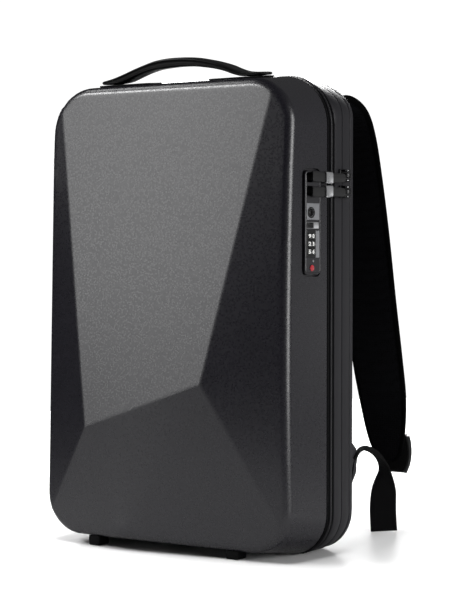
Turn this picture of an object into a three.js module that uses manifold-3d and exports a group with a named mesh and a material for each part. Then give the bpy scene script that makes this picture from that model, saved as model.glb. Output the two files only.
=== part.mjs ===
// Laptop backpack: a moulded, faceted front shell on a zipped fabric gusset, with a padded back,
// two shoulder straps on adjustable webbing, a carry handle and a combination lock in its side.
// Millimetres, +Z up. The front faces -Y and the bag stands on z = 0.
import * as THREE from 'three';
import { mergeVertices } from 'three/addons/utils/BufferGeometryUtils.js';
import Module from 'manifold-3d';

const wasm = await Module();
wasm.setup();

// Body sizes. Depths (y) are measured back from the plane of the front rim.
const RIM_WIDTH = 290;
const RIM_HEIGHT = 452;
const SHELL_DEPTH = 56;
const DRAFT = 8; // growth of every side wall from the rim to the seam
const CORNER_RADIUS = 42;
const CORNER_STEPS = 8;
const SHELL_WALL = 2.5;
const WELT_END = 65;
const WELT_PROUD = 2.5;
const GUSSET_WALL = 2;
const ZIP_FRONT = 79;
const ZIP_BACK = 83;
const ZIP_SUNK = 0.6;
const BACK_Y = 97;
const BASE_Y = 89.5; // depth of the part's origin, on the gusset's flat base
const GAP = 0.3; // between neighbouring pieces
const PLATE_CORNER_STEPS = 4;
const ROUND_SIDES = 20;

const SEAM_HALF_WIDTH = RIM_WIDTH / 2 + DRAFT;
const SEAM_HALF_HEIGHT = RIM_HEIGHT / 2 + DRAFT;
const BODY_MIDDLE_Z = SEAM_HALF_HEIGHT;
const RIM_TOP_Z = BODY_MIDDLE_Z + RIM_HEIGHT / 2;
const DRAFT_ANGLE = Math.atan2(DRAFT, SHELL_DEPTH);

// Corner points of the front's facets: x across, y depth, z up
const FACET_POINTS = {
  top: [0, 0, RIM_TOP_Z],
  right_peak: [58, -25.6, 171],
  left_peak: [-82, -30, 122],
  right_top: [145, 4, RIM_TOP_Z],
  right_middle: [145, -5, BODY_MIDDLE_Z],
  right_low: [145, -1.5, 20],
  left_top: [-145, 1.4, RIM_TOP_Z],
  left_low: [-145, -13.5, 30],
  base_ridge: [-40, -26, 12],
  base_corner: [-123, -19.5, 56],
};
const FACETS = [
  ['top', 'left_peak', 'right_peak'],
  ['right_peak', 'right_top', 'right_middle'],
  ['right_peak', 'right_middle', 'right_low'],
  ['left_peak', 'left_top', 'left_low'],
  ['right_peak', 'base_ridge', 'right_low'],
  ['right_peak', 'left_peak', 'base_ridge'],
  ['left_peak', 'base_ridge', 'base_corner'],
];

// Finishes: colour, roughness, metalness
const SHELL_FINISH = [0x3d3e40, 0.5, 0];
const WELT_FINISH = [0x2a2b2d, 0.6, 0];
const CLOTH_FINISH = [0x323335, 0.9, 0];
const ZIP_FINISH = [0x141416, 0.7, 0];
const PAD_FINISH = [0x1c1c1e, 0.95, 0];
const WEB_FINISH = [0x18181a, 0.85, 0];
const PLASTIC_FINISH = [0x1a1a1c, 0.45, 0];
const LOCK_FINISH = [0x4a4b4e, 0.4, 0];
const SATIN_METAL_FINISH = [0xb4b5b8, 0.35, 0.9];
const RED_FINISH = [0xb02a2c, 0.4, 0];
const RUBBER_FINISH = [0x111112, 0.8, 0];

// Geometry helpers
function signedVolume(points, index) {
  const cross = new THREE.Vector3();
  let total = 0;
  for (let i = 0; i < index.length; i += 3) {
    cross.crossVectors(points[index[i + 1]], points[index[i + 2]]);
    total += points[index[i]].dot(cross) / 6;
  }
  return total;
}

// A closed skin through rings of points, capped at both ends or, when closed, joined end to end
function loft(rings, closed = false) {
  const count = rings[0].length;
  const points = rings.flat();
  const index = [];
  const spans = closed ? rings.length : rings.length - 1;
  for (let r = 0; r < spans; r += 1) {
    const here = r * count;
    const next = ((r + 1) % rings.length) * count;
    for (let i = 0; i < count; i += 1) {
      const j = (i + 1) % count;
      index.push(here + i, next + i, next + j);
      index.push(here + i, next + j, here + j);
    }
  }
  const last = points.length - count;
  for (let i = 1; i < count - 1 && !closed; i += 1) {
    index.push(0, i, i + 1);
    index.push(last, last + i + 1, last + i);
  }
  if (signedVolume(points, index) < 0) index.reverse();
  const geometry = new THREE.BufferGeometry().setFromPoints(points);
  geometry.setIndex(index);
  return geometry;
}

function solidOf(geometry) {
  const bare = geometry.clone();
  bare.deleteAttribute('normal');
  bare.deleteAttribute('uv');
  const merged = mergeVertices(bare, 1e-4);
  return new wasm.Manifold(new wasm.Mesh({
    numProp: 3,
    vertProperties: new Float32Array(merged.attributes.position.array),
    triVerts: new Uint32Array(merged.index.array),
  }));
}

function geometryOf(solid) {
  const mesh = solid.getMesh();
  const geometry = new THREE.BufferGeometry();
  geometry.setAttribute('position', new THREE.BufferAttribute(mesh.vertProperties, 3));
  geometry.setIndex(new THREE.BufferAttribute(mesh.triVerts, 1));
  return geometry;
}

// Points of a rounded rectangle, from the right end of its lower edge round to the left end
function roundedOutline(halfWidth, halfHeight, radius, steps = CORNER_STEPS) {
  const points = [];
  [[1, -1], [1, 1], [-1, 1], [-1, -1]].forEach(([sideX, sideZ], corner) => {
    for (let k = 0; k <= steps; k += 1) {
      const angle = (corner - 1 + k / steps) * Math.PI / 2;
      const a = sideX * (halfWidth - radius) + radius * Math.cos(angle);
      const b = sideZ * (halfHeight - radius) + radius * Math.sin(angle);
      points.push([a, b]);
    }
  });
  return points;
}

function bodyLoop(halfWidth, halfHeight, radius, y) {
  return roundedOutline(halfWidth, halfHeight, radius)
    .map(([a, b]) => new THREE.Vector3(a, y, BODY_MIDDLE_Z + b));
}

function box(x0, x1, y0, y1, z0, z1) {
  const geometry = new THREE.BoxGeometry(x1 - x0, y1 - y0, z1 - z0);
  return geometry.translate((x0 + x1) / 2, (y0 + y1) / 2, (z0 + z1) / 2);
}

// A plate with rounded corners that faces +X, from x0 to x1 and centred on y and z
function plate(width, height, radius, x0, x1, y, z) {
  const outline = roundedOutline(width / 2, height / 2, radius, PLATE_CORNER_STEPS);
  return loft([x0, x1].map((x) => outline.map(([a, b]) => new THREE.Vector3(x, y + a, z + b))));
}

// A round bar along X
function bar(radius, x0, x1, y, z) {
  const geometry = new THREE.CylinderGeometry(radius, radius, x1 - x0, ROUND_SIDES);
  return geometry.rotateZ(Math.PI / 2).translate((x0 + x1) / 2, y, z);
}

// A band that follows the body's seam outline: profile rows are [inset, depth]
function seamBand(profile, open = false) {
  const loops = profile.map(([inset, y]) =>
    bodyLoop(SEAM_HALF_WIDTH - inset, SEAM_HALF_HEIGHT - inset, CORNER_RADIUS - inset, y));
  const sections = loops[0].map((_, i) => loops.map((loop) => loop[i]));
  return loft(sections, !open);
}

// A strap along a smooth path. Rows give x, y, z, width, thick and, in degrees, turn and bank: its
// width's turn from X about the vertical, and how far its +X edge is then raised about the path.
function strap(rows, steps) {
  const path = new THREE.CatmullRomCurve3(rows.map((row) => new THREE.Vector3(row.x, row.y, row.z)));
  const stations = [];
  for (let k = 0; k <= steps; k += 1) {
    const place = (k / steps) * (rows.length - 1);
    const i = Math.min(Math.floor(place), rows.length - 2);
    const mix = (name) => THREE.MathUtils.lerp(rows[i][name] ?? 0, rows[i + 1][name] ?? 0, place - i);
    const [width, thick, turn, bank] = ['width', 'thick', 'turn', 'bank'].map(mix);
    stations.push({ t: k / steps, width, thick, turn, bank });
  }
  return loft(stations.map(({ t, width, thick, turn, bank }) => {
    const at = path.getPoint(t);
    const along = path.getTangent(t);
    const angle = THREE.MathUtils.degToRad(turn);
    const across = new THREE.Vector3(Math.cos(angle), Math.sin(angle), 0);
    across.addScaledVector(along, -across.dot(along)).normalize();
    across.applyAxisAngle(along, -THREE.MathUtils.degToRad(bank));
    const out = new THREE.Vector3().crossVectors(along, across);
    const [w, h, cut] = [width / 2, thick / 2, thick / 4];
    const section = [[w, h - cut], [w - cut, h], [cut - w, h], [-w, h - cut],
      [-w, cut - h], [cut - w, -h], [w - cut, -h], [w, cut - h]];
    return section.map(([u, v]) => at.clone().addScaledVector(across, u).addScaledVector(out, v));
  }));
}

function mirrored(rows, side) {
  return rows.map((row) => {
    const [turn, bank] = [side * (row.turn ?? 0), side * (row.bank ?? 0)];
    return { ...row, x: side * row.x, turn, bank };
  });
}

function add(parent, name, geometry, [colour, roughness, metalness]) {
  const material = new THREE.MeshStandardMaterial({ color: colour, roughness, metalness });
  const mesh = new THREE.Mesh(geometry, material);
  mesh.name = name;
  parent.add(mesh);
}

const bag = new THREE.Group();
bag.position.y = -BASE_Y;

// Lock frame: on the outside of the right wall, its x along the wall's outward normal
const LOCK_Y = 30.5;
const LOCK_Z = 326;
const LOCK_WIDTH = 24;
const LOCK_HEIGHT = 100;
const LOCK_PROUD = 2.4;
const LOCK_CORNER = 5;
const CASE_WIDTH = 22;
const CASE_HEIGHT = 92;
const CASE_DEPTH = 13;

const lock = new THREE.Group();
lock.position.set(RIM_WIDTH / 2 + DRAFT * LOCK_Y / SHELL_DEPTH, LOCK_Y, LOCK_Z);
lock.rotation.z = -DRAFT_ANGLE;
lock.updateMatrix();
bag.add(lock);

// Front shell: a drafted, round-cornered box cut by the facets and hollowed from behind
const AHEAD_OF_PEAKS = -60;
const REACH = 1200;

function facetCut(names, inset) {
  const corners = names.map((name) => new THREE.Vector3(...FACET_POINTS[name]));
  const plane = new THREE.Plane().setFromCoplanarPoints(...corners);
  if (plane.normal.y < 0) plane.negate();
  const turn = new THREE.Quaternion().setFromUnitVectors(new THREE.Vector3(0, 1, 0), plane.normal);
  const at = corners[0].clone().addScaledVector(plane.normal, inset);
  const geometry = new THREE.BoxGeometry(REACH, REACH, REACH).translate(0, -REACH / 2, 0);
  return solidOf(geometry.applyQuaternion(turn).translate(at.x, at.y, at.z));
}

function shellSolid(inset, back) {
  const sections = [AHEAD_OF_PEAKS, back].map((y) => {
    const grow = DRAFT * y / SHELL_DEPTH - inset;
    return bodyLoop(RIM_WIDTH / 2 + grow, RIM_HEIGHT / 2 + grow, CORNER_RADIUS - inset, y);
  });
  const blank = solidOf(loft(sections));
  return FACETS.reduce((solid, names) => solid.subtract(facetCut(names, inset)), blank);
}

function frontShell() {
  const window = box(-3 * SHELL_WALL, SHELL_WALL, -CASE_WIDTH / 2 - GAP, CASE_WIDTH / 2 + GAP,
    -CASE_HEIGHT / 2 - GAP, CASE_HEIGHT / 2 + GAP);
  const hollow = shellSolid(SHELL_WALL, SHELL_DEPTH + 2 * SHELL_WALL);
  return geometryOf(shellSolid(0, SHELL_DEPTH)
    .subtract(hollow)
    .subtract(solidOf(window.applyMatrix4(lock.matrix))));
}

add(bag, 'front_shell', frontShell(), SHELL_FINISH);

// Welt round the seam: a bead, pressed flat where the bag stands on it
function welt() {
  const middle = (SHELL_DEPTH + WELT_END) / 2;
  const half = (WELT_END - SHELL_DEPTH) / 2 - GAP;
  const arch = [-90, -60, -30, 0, 30, 60, 90].map((degrees) => {
    const angle = THREE.MathUtils.degToRad(degrees);
    return [-WELT_PROUD * Math.cos(angle), middle + half * Math.sin(angle)];
  });
  const profile = [[SHELL_WALL, middle - half], ...arch, [SHELL_WALL, middle + half]];
  const floor = box(-REACH, REACH, -REACH, REACH, -REACH, 0);
  return geometryOf(solidOf(seamBand(profile)).subtract(solidOf(floor)));
}

add(bag, 'welt', welt(), WELT_FINISH);

// Gusset: two cloth bands with the zip between them, closed at the base by a hinge strip
function clothBand(front, back) {
  return [[0, front], [0, back], [GUSSET_WALL, back], [GUSSET_WALL, front]];
}

const zipProfile = [[ZIP_SUNK, ZIP_FRONT + GAP], [ZIP_SUNK, ZIP_BACK - GAP],
  [GUSSET_WALL, ZIP_BACK - GAP], [GUSSET_WALL, ZIP_FRONT + GAP]];
const hingeHalf = SEAM_HALF_WIDTH - CORNER_RADIUS - GAP;

add(bag, 'gusset_front', seamBand(clothBand(WELT_END + GAP, ZIP_FRONT)), CLOTH_FINISH);
add(bag, 'zip_chain', seamBand(zipProfile, true), ZIP_FINISH);
add(bag, 'base_hinge_strip',
  box(-hingeHalf, hingeHalf, ZIP_FRONT + GAP, ZIP_BACK - GAP, 0, GUSSET_WALL), CLOTH_FINISH);
add(bag, 'gusset_rear', seamBand(clothBand(ZIP_BACK, BACK_Y)), CLOTH_FINISH);

// Padded back panel: rows are inset from the seam outline and depth
const BACK_PANEL = [
  { inset: 2, y: BACK_Y + GAP },
  { inset: 2, y: BACK_Y + 3 },
  { inset: 4, y: BACK_Y + 4 },
  { inset: 30, y: BACK_Y + 5 },
  { inset: 34, y: BACK_Y + 9 },
  { inset: 40, y: BACK_Y + 11 },
];
add(bag, 'back_panel', loft(BACK_PANEL.map(({ inset, y }) => bodyLoop(SEAM_HALF_WIDTH - inset,
  SEAM_HALF_HEIGHT - inset, CORNER_RADIUS - inset / 2, y))), PAD_FINISH);

// Feet under the front edge of the shell: rows are x and the depth of the foot's front
const FOOT_WIDTH = 14;
const FOOT_LENGTH = 16;
const FOOT_CHAMFER = 2;
const FEET = [{ name: 'foot_left', x: -81, front: -16 }, { name: 'foot_right', x: 81, front: -5 }];

for (const { name, x, front } of FEET) {
  const wallZ = (y) => DRAFT - DRAFT * y / SHELL_DEPTH - GAP;
  const back = front + FOOT_LENGTH;
  const side = [[front + FOOT_CHAMFER, 0], [back - FOOT_CHAMFER, 0], [back, FOOT_CHAMFER],
    [back, wallZ(back)], [front, wallZ(front)], [front, FOOT_CHAMFER]];
  const sections = [x - FOOT_WIDTH / 2, x + FOOT_WIDTH / 2]
    .map((at) => side.map(([y, z]) => new THREE.Vector3(at, y, z)));
  add(bag, name, loft(sections), RUBBER_FINISH);
}

// Carry handle on the shell's top wall: a sprung arch whose ends lie on two base plates
const HANDLE_Y = 30;
const HANDLE_BASE = { near: 48, far: 97, width: 26, thick: 2.4, corner: 5 };
const HANDLE_STEPS = 36;
const HANDLE_ARCH = [
  { x: -106, under: 5.6, over: 8.2, width: 14 },
  { x: -95, under: 3.4, over: 10, width: 22 },
  { x: -82, under: 2.9, over: 13, width: 24 },
  { x: -66, under: 6, over: 18, width: 24 },
  { x: -48, under: 13.4, over: 23.4, width: 23 },
  { x: -26, under: 18.6, over: 27.6, width: 22 },
  { x: 0, under: 20.2, over: 29, width: 22 },
];

const handle = new THREE.Group();
handle.position.set(0, HANDLE_Y, RIM_TOP_Z + DRAFT * HANDLE_Y / SHELL_DEPTH);
handle.rotation.x = DRAFT_ANGLE;
bag.add(handle);

const archHalf = HANDLE_ARCH.map(({ x, under, over, width }) =>
  ({ x, y: 0, z: (under + over) / 2, width, thick: over - under, turn: 90 }));
const archRest = archHalf.slice(0, -1).reverse().map((row) => ({ ...row, x: -row.x }));
add(handle, 'handle_grip', strap([...archHalf, ...archRest], HANDLE_STEPS), PLASTIC_FINISH);

for (const [name, side] of [['handle_base_left', -1], ['handle_base_right', 1]]) {
  const { near, far, width, thick, corner } = HANDLE_BASE;
  const outline = roundedOutline((far - near) / 2, width / 2, corner, PLATE_CORNER_STEPS);
  const middle = side * (near + far) / 2;
  const sections = [GAP, thick].map((z) => outline.map(([a, b]) => new THREE.Vector3(middle + a, b, z)));
  add(handle, name, loft(sections), RUBBER_FINISH);
}

// Lock: y along the wall and z up, from the middle of its plate. Pockets are sunk from the plate's face.
const KEY_PLATE = { width: 18.6, height: 16, y: -0.4, z: 10.6 };
const KEY_CYLINDER = { radius: 3.4, back: -4, front: 3.3, y: -3.5, z: 9.6 };
const KEYWAY = { width: 1, height: 4, depth: 2 };
const SLIDE_TRACK = { width: 18.6, height: 6.4, y: -0.4, z: -2.6 };
const SLIDE_TRACK_THICK = 0.8;
const SLIDE_BUTTON = { width: 9.4, height: 5.4, y: -4.6, z: -2.6 };
const SLIDE_BUTTON_FACE = LOCK_PROUD + 1;
const DIAL_PLATE = { width: 18.6, height: 26, y: -0.4, z: -20.5 };
const DIAL = { radius: 6.4, bore: 2, width: 5.8, chamfer: 0.5, pitch: 7.45, x: -1.6, y: -2.8, count: 3 };
const DIAL_SLOT_HALF_WIDTH = 6.2;
const INLAY_FLOOR = 1;
const INLAY_FACE = LOCK_PROUD + 0.2;
const INLAY_CORNER = 1.2;
const PULL_SLOT = { width: 8.4, height: 9.4, corner: 1, depth: 5, y: -5 };
const PULL_HEIGHTS = { zip_pull_upper: 43, zip_pull_lower: 30.4 };
const SHAFT_RADIUS = DIAL.bore - GAP;
const SHAFT_SEAT = 1; // how far the dials' shaft reaches into the case at each end

const LOCK_DOTS = [
  { name: 'lock_index_dot', radius: 1.1, y: 0, z: -36.7, finish: SATIN_METAL_FINISH },
  { name: 'lock_red_dot', radius: 3, y: -1.8, z: -43.4, finish: RED_FINISH },
];
const DOT_GAP = 0.1;
const DOT_PROUD = 0.6;

function inlay({ width, height, y, z }, back = INLAY_FLOOR + GAP, front = INLAY_FACE) {
  return plate(width, height, INLAY_CORNER, back, front, y, z);
}

function pocket({ width, height, y, z }) {
  const wide = { width: width + 2 * GAP, height: height + 2 * GAP, y, z };
  return solidOf(inlay(wide, INLAY_FLOOR, 2 * LOCK_PROUD));
}

function upright(radius, z0, z1, x, y) {
  const geometry = new THREE.CylinderGeometry(radius, radius, z1 - z0, ROUND_SIDES);
  return solidOf(geometry.rotateX(Math.PI / 2).translate(x, y, (z0 + z1) / 2));
}

function lockCase() {
  const face = plate(LOCK_WIDTH, LOCK_HEIGHT, LOCK_CORNER, GAP, LOCK_PROUD, 0, 0);
  const back = box(-CASE_DEPTH, LOCK_PROUD / 2, -CASE_WIDTH / 2, CASE_WIDTH / 2, -CASE_HEIGHT / 2,
    CASE_HEIGHT / 2);
  const dialHalf = DIAL.pitch * DIAL.count / 2 + GAP;
  const dialRoom = box(DIAL.x - DIAL.radius - 2 * GAP, INLAY_FLOOR + GAP, DIAL.y - DIAL.radius - 2 * GAP,
    DIAL.y + DIAL.radius + 2 * GAP, DIAL_PLATE.z - dialHalf, DIAL_PLATE.z + dialHalf);
  const cylinderRoom = bar(KEY_CYLINDER.radius + GAP, KEY_CYLINDER.back - GAP, LOCK_PROUD,
    KEY_CYLINDER.y, KEY_CYLINDER.z);
  let solid = solidOf(face).add(solidOf(back));
  for (const part of [KEY_PLATE, SLIDE_TRACK, DIAL_PLATE]) solid = solid.subtract(pocket(part));
  solid = solid.subtract(solidOf(dialRoom)).subtract(solidOf(cylinderRoom));
  for (const z of Object.values(PULL_HEIGHTS)) {
    const { width, height, corner, depth, y } = PULL_SLOT;
    const slot = plate(width, height, corner, LOCK_PROUD - depth, 2 * LOCK_PROUD, y, z);
    solid = solid.subtract(solidOf(slot));
  }
  const shaftHalf = dialHalf + SHAFT_SEAT;
  const shaft = upright(SHAFT_RADIUS, DIAL_PLATE.z - shaftHalf, DIAL_PLATE.z + shaftHalf, DIAL.x, DIAL.y);
  return geometryOf(solid.add(shaft));
}

function keyPlate() {
  const hole = bar(KEY_CYLINDER.radius + GAP, -LOCK_PROUD, 2 * LOCK_PROUD, KEY_CYLINDER.y, KEY_CYLINDER.z);
  return geometryOf(solidOf(inlay(KEY_PLATE)).subtract(solidOf(hole)));
}

function keyCylinder() {
  const { radius, back, front, y, z } = KEY_CYLINDER;
  const keyway = box(front - KEYWAY.depth, front + KEYWAY.depth, y - KEYWAY.width / 2, y + KEYWAY.width / 2,
    z - KEYWAY.height / 2, z + KEYWAY.height / 2);
  return geometryOf(solidOf(bar(radius, back, front, y, z)).subtract(solidOf(keyway)));
}

const dialHeights = [1, 0, -1].map((step) => DIAL_PLATE.z + step * DIAL.pitch);

function dialPlate() {
  const half = DIAL.width / 2 + GAP;
  const slots = dialHeights.map((z) => solidOf(box(0, 2 * LOCK_PROUD, DIAL.y - DIAL_SLOT_HALF_WIDTH,
    DIAL.y + DIAL_SLOT_HALF_WIDTH, z - half, z + half)));
  return geometryOf(slots.reduce((solid, slot) => solid.subtract(slot), solidOf(inlay(DIAL_PLATE))));
}

function dial(z) {
  const { radius, bore, width, chamfer, x, y } = DIAL;
  const half = width / 2;
  const profile = [[bore, -half], [radius - chamfer, -half], [radius, chamfer - half],
    [radius, half - chamfer], [radius - chamfer, half], [bore, half], [bore, -half]];
  const geometry = new THREE.LatheGeometry(profile.map(([r, h]) => new THREE.Vector2(r, h)), ROUND_SIDES);
  return geometry.rotateX(Math.PI / 2).translate(x, y, z);
}

add(lock, 'lock_case', lockCase(), LOCK_FINISH);
add(lock, 'key_plate', keyPlate(), SATIN_METAL_FINISH);
add(lock, 'key_cylinder', keyCylinder(), SATIN_METAL_FINISH);
const trackFace = INLAY_FLOOR + SLIDE_TRACK_THICK;
add(lock, 'slide_track', inlay(SLIDE_TRACK, INLAY_FLOOR + GAP, trackFace), SATIN_METAL_FINISH);
add(lock, 'lock_slide', inlay(SLIDE_BUTTON, trackFace + GAP, SLIDE_BUTTON_FACE), PLASTIC_FINISH);
add(lock, 'dial_plate', dialPlate(), SATIN_METAL_FINISH);
dialHeights.forEach((z, i) => add(lock, `dial_${i + 1}`, dial(z), PLASTIC_FINISH));
for (const { name, radius, y, z, finish } of LOCK_DOTS) {
  add(lock, name, bar(radius, LOCK_PROUD + DOT_GAP, LOCK_PROUD + DOT_PROUD, y, z), finish);
}

// Zip pulls, docked in the lock: a flat bar with a leg in the lock's slot and a metal band round it
const PULL = { height: 9.2, back: 3.4, front: 6, start: -4.6, end: 44.6, corner: 2.2 };
const PULL_BAND = { start: 14.2, end: 24.4, thick: 0.7 };
const PULL_LEG = { width: 3.4, height: 4.4, depth: 4.4, embed: 1 };

function zipPull(z) {
  const { height, back, front, start, end, corner } = PULL;
  const flat = plate(end - start, height, corner, back, front, (start + end) / 2, z);
  const leg = box(LOCK_PROUD - PULL_LEG.depth, front - PULL_LEG.embed, start, start + PULL_LEG.width,
    z - PULL_LEG.height / 2, z + PULL_LEG.height / 2);
  return geometryOf(solidOf(flat).add(solidOf(leg)));
}

function pullBand(z) {
  const { height, back, front } = PULL;
  const { start, end, thick } = PULL_BAND;
  const grow = GAP + thick;
  const [inside, outside] = [height / 2 + GAP, height / 2 + grow];
  const hole = box(back - GAP, front + GAP, start - grow, end + grow, z - inside, z + inside);
  const outer = box(back - grow, front + grow, start, end, z - outside, z + outside);
  return geometryOf(solidOf(outer).subtract(solidOf(hole)));
}

for (const [name, z] of Object.entries(PULL_HEIGHTS)) {
  add(lock, name, zipPull(z), PLASTIC_FINISH);
  add(lock, `${name}_band`, pullBand(z), SATIN_METAL_FINISH);
}

// Zip sliders on the gusset, each a body on the zip with a round crown that meets its pull
const SLIDER = { width: 17, height: 12, thick: 3.6, corner: 4, back: 1 };
const SLIDER_CROWN = { radius: 4.6, height: 8.4, front: 1.6 };
const SLIDER_HEIGHTS = { zip_slider_upper: 372.5, zip_slider_lower: 356.5 };

for (const [name, z] of Object.entries(SLIDER_HEIGHTS)) {
  const { width, height, thick, corner, back } = SLIDER;
  const zipY = (ZIP_FRONT + ZIP_BACK) / 2;
  const face = SEAM_HALF_WIDTH + GAP;
  const foot = plate(width, height, corner, face, face + thick, zipY + back, z);
  const { radius, height: tall, front } = SLIDER_CROWN;
  const crown = upright(radius, z - tall / 2, z + tall / 2, face + radius + GAP, zipY - front);
  add(bag, name, geometryOf(solidOf(foot).add(crown)), PLASTIC_FINISH);
}

// Shoulder straps, their webbing and buckles, on both sides
const SHOULDER_STRAP = [
  { x: 110, y: 102.5, z: 446, width: 56, thick: 8 },
  { x: 110, y: 119, z: 449.5, width: 58, thick: 9 },
  { x: 110, y: 138, z: 446.5, width: 60, thick: 10 },
  { x: 110, y: 154, z: 436, width: 60, thick: 10 },
  { x: 110, y: 166, z: 415, width: 60, thick: 10 },
  { x: 110, y: 177, z: 381, width: 60, thick: 10 },
  { x: 110, y: 193, z: 320, width: 60, thick: 10 },
  { x: 110, y: 208.5, z: 248, width: 60, thick: 10 },
  { x: 110.5, y: 223, z: 184, width: 59, thick: 10 },
  { x: 112.5, y: 231, z: 142, width: 55, thick: 9 },
  { x: 117, y: 232, z: 105, width: 44, thick: 8 },
  { x: 121, y: 231, z: 86, width: 34, thick: 7 },
  { x: 122, y: 230, z: 75.5, width: 27, thick: 6 },
];
const WEB_WIDTH = 28;
const WEB_THICK = 1.8;
const WEB = [
  { x: 147.5, y: 120.2, z: 89, width: 18, bank: 80 },
  { x: 147, y: 129, z: 92.5, width: 22, bank: 55 },
  { x: 144, y: 146, z: 99, bank: 20 },
  { x: 138, y: 168, z: 101, bank: -5 },
  { x: 131, y: 192, z: 94, bank: -30 },
  { x: 125.5, y: 210, z: 82, bank: -38 },
  { x: 122.5, y: 220, z: 71, bank: -22 },
  { x: 121, y: 225.5, z: 62, turn: -10 },
  { x: 120, y: 227, z: 52, turn: -8 },
  { x: 118.5, y: 226, z: 42, turn: 12 },
  { x: 118.5, y: 224.5, z: 24, turn: 26 },
  { x: 120, y: 224, z: 1, turn: 30 },
].map((row) => ({ width: WEB_WIDTH, ...row, thick: WEB_THICK }));
const BUCKLE = [
  { x: 122, y: 238, z: 103 },
  { x: 122, y: 242, z: 95 },
  { x: 122, y: 243.6, z: 84 },
  { x: 122, y: 240.6, z: 73 },
  { x: 122, y: 233.5, z: 64.5 },
].map((row) => ({ ...row, width: 38, thick: 3.6, turn: 0 }));
const WING_TAB = { y0: BACK_Y + 4.4, y1: BACK_Y + 19.4, low: 60, tipLow: 78, tipHigh: 100, high: 112 };
const WING_TAB_X = [146, 149];
const SHOULDER_STEPS = 26;
const WEB_STEPS = 40;
const BUCKLE_STEPS = 10;

for (const [side, word] of [[-1, 'left'], [1, 'right']]) {
  const { y0, y1, low, tipLow, tipHigh, high } = WING_TAB;
  const outline = [[y0, low], [y1, tipLow], [y1, tipHigh], [y0, high]];
  const wing = WING_TAB_X.map((x) => outline.map(([y, z]) => new THREE.Vector3(side * x, y, z)));
  add(bag, `shoulder_strap_${word}`, strap(mirrored(SHOULDER_STRAP, side), SHOULDER_STEPS), PAD_FINISH);
  add(bag, `strap_web_${word}`, strap(mirrored(WEB, side), WEB_STEPS), WEB_FINISH);
  add(bag, `strap_buckle_${word}`, strap(mirrored(BUCKLE, side), BUCKLE_STEPS), PLASTIC_FINISH);
  add(bag, `wing_tab_${word}`, loft(wing), CLOTH_FINISH);
}

export default bag;
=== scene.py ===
# %% [markdown]
# # A hard-fronted laptop backpack
# The bag is a moulded front shell, faceted like a cut stone, on a cloth gusset with a zip. A padded
# back, two shoulder straps, a carry handle and a combination lock complete it. The lesson dresses a
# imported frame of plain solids: every piece is modelled where its solid stands and hides that solid.

# %% The frame
import math

import bmesh
import bpy
import numpy as np
from mathutils import Matrix, Vector


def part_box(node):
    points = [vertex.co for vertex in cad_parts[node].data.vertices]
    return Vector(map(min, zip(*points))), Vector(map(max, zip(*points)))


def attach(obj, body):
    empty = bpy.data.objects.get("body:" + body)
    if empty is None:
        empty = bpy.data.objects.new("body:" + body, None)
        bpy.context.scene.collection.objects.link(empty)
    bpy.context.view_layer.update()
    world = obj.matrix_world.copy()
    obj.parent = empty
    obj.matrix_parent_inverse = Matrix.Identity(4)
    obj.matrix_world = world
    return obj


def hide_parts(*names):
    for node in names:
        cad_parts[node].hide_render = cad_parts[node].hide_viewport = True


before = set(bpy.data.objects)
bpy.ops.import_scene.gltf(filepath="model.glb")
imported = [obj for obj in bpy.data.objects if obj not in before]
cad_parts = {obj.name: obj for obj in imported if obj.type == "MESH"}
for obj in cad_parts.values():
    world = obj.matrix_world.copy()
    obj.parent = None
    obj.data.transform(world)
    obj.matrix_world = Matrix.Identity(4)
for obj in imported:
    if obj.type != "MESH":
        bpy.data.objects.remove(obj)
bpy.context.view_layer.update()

# %% [markdown]
# ## Places and sizes
# Millimetres suit a bag, and Blender works in metres, so `spot` turns one into the other. Depths
# are measured back from the plane of the shell's front rim, as a pattern cutter would.

# %% Body sizes
MM = 0.001
RIM_WIDTH, RIM_HEIGHT = 290, 452
SHELL_DEPTH, DRAFT = 56, 8
CORNER_RADIUS = 42
SEAM_HALF_WIDTH = RIM_WIDTH / 2 + DRAFT
SEAM_HALF_HEIGHT = RIM_HEIGHT / 2 + DRAFT
MIDDLE_Z = SEAM_HALF_HEIGHT
RIM_TOP_Z = MIDDLE_Z + RIM_HEIGHT / 2
TOP_EDGE_Z, SEAM_TOP_Z = 464.5, 470
RIM_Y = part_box("front_shell")[1].y / MM - SHELL_DEPTH


def spot(x, depth, z):
    """A place in metres, from millimetres across, back from the rim and up."""
    return Vector((x, depth + RIM_Y, z)) * MM


print("the front rim lies at y =", round(RIM_Y, 2), "mm")

# %% [markdown]
# ## Camera
# A product shot from the front right, at the height of the lock. The lens is long, so the upright
# edges stay almost parallel.

# %% Camera
SENSOR = 36
FOCAL_IN_FRAME_HEIGHTS = 1773 / 600
EYE = (1048.4, -1413.3, 304.1)
EYE_PITCH, EYE_TURN = 88.24, 34.7

eye = bpy.data.objects.new("camera", bpy.data.cameras.new("camera"))
bpy.context.scene.collection.objects.link(eye)
eye.location = spot(*EYE)
eye.rotation_euler = (math.radians(EYE_PITCH), 0, math.radians(EYE_TURN))
eye.data.sensor_width = SENSOR
eye.data.lens = SENSOR * FOCAL_IN_FRAME_HEIGHTS
bpy.context.scene.camera = eye
print("camera:", round(eye.data.lens, 1), "mm lens")

# %% [markdown]
# ## Hand tools
# A modeller selects, then acts. `choose` selects faces, edges or vertices of the piece in edit mode
# by a test on each, and the operators then work on that selection alone.

# %% Selecting and editing


def clear_selection():
    bpy.ops.object.select_all(action="DESELECT")


def pick(piece):
    """Makes one piece the only selected one, and the active one."""
    clear_selection()
    piece.select_set(True)
    bpy.context.view_layer.objects.active = piece


def open_edit(piece):
    pick(piece)
    bpy.ops.object.mode_set(mode="EDIT")


def close_edit():
    bpy.ops.object.mode_set(mode="OBJECT")


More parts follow.
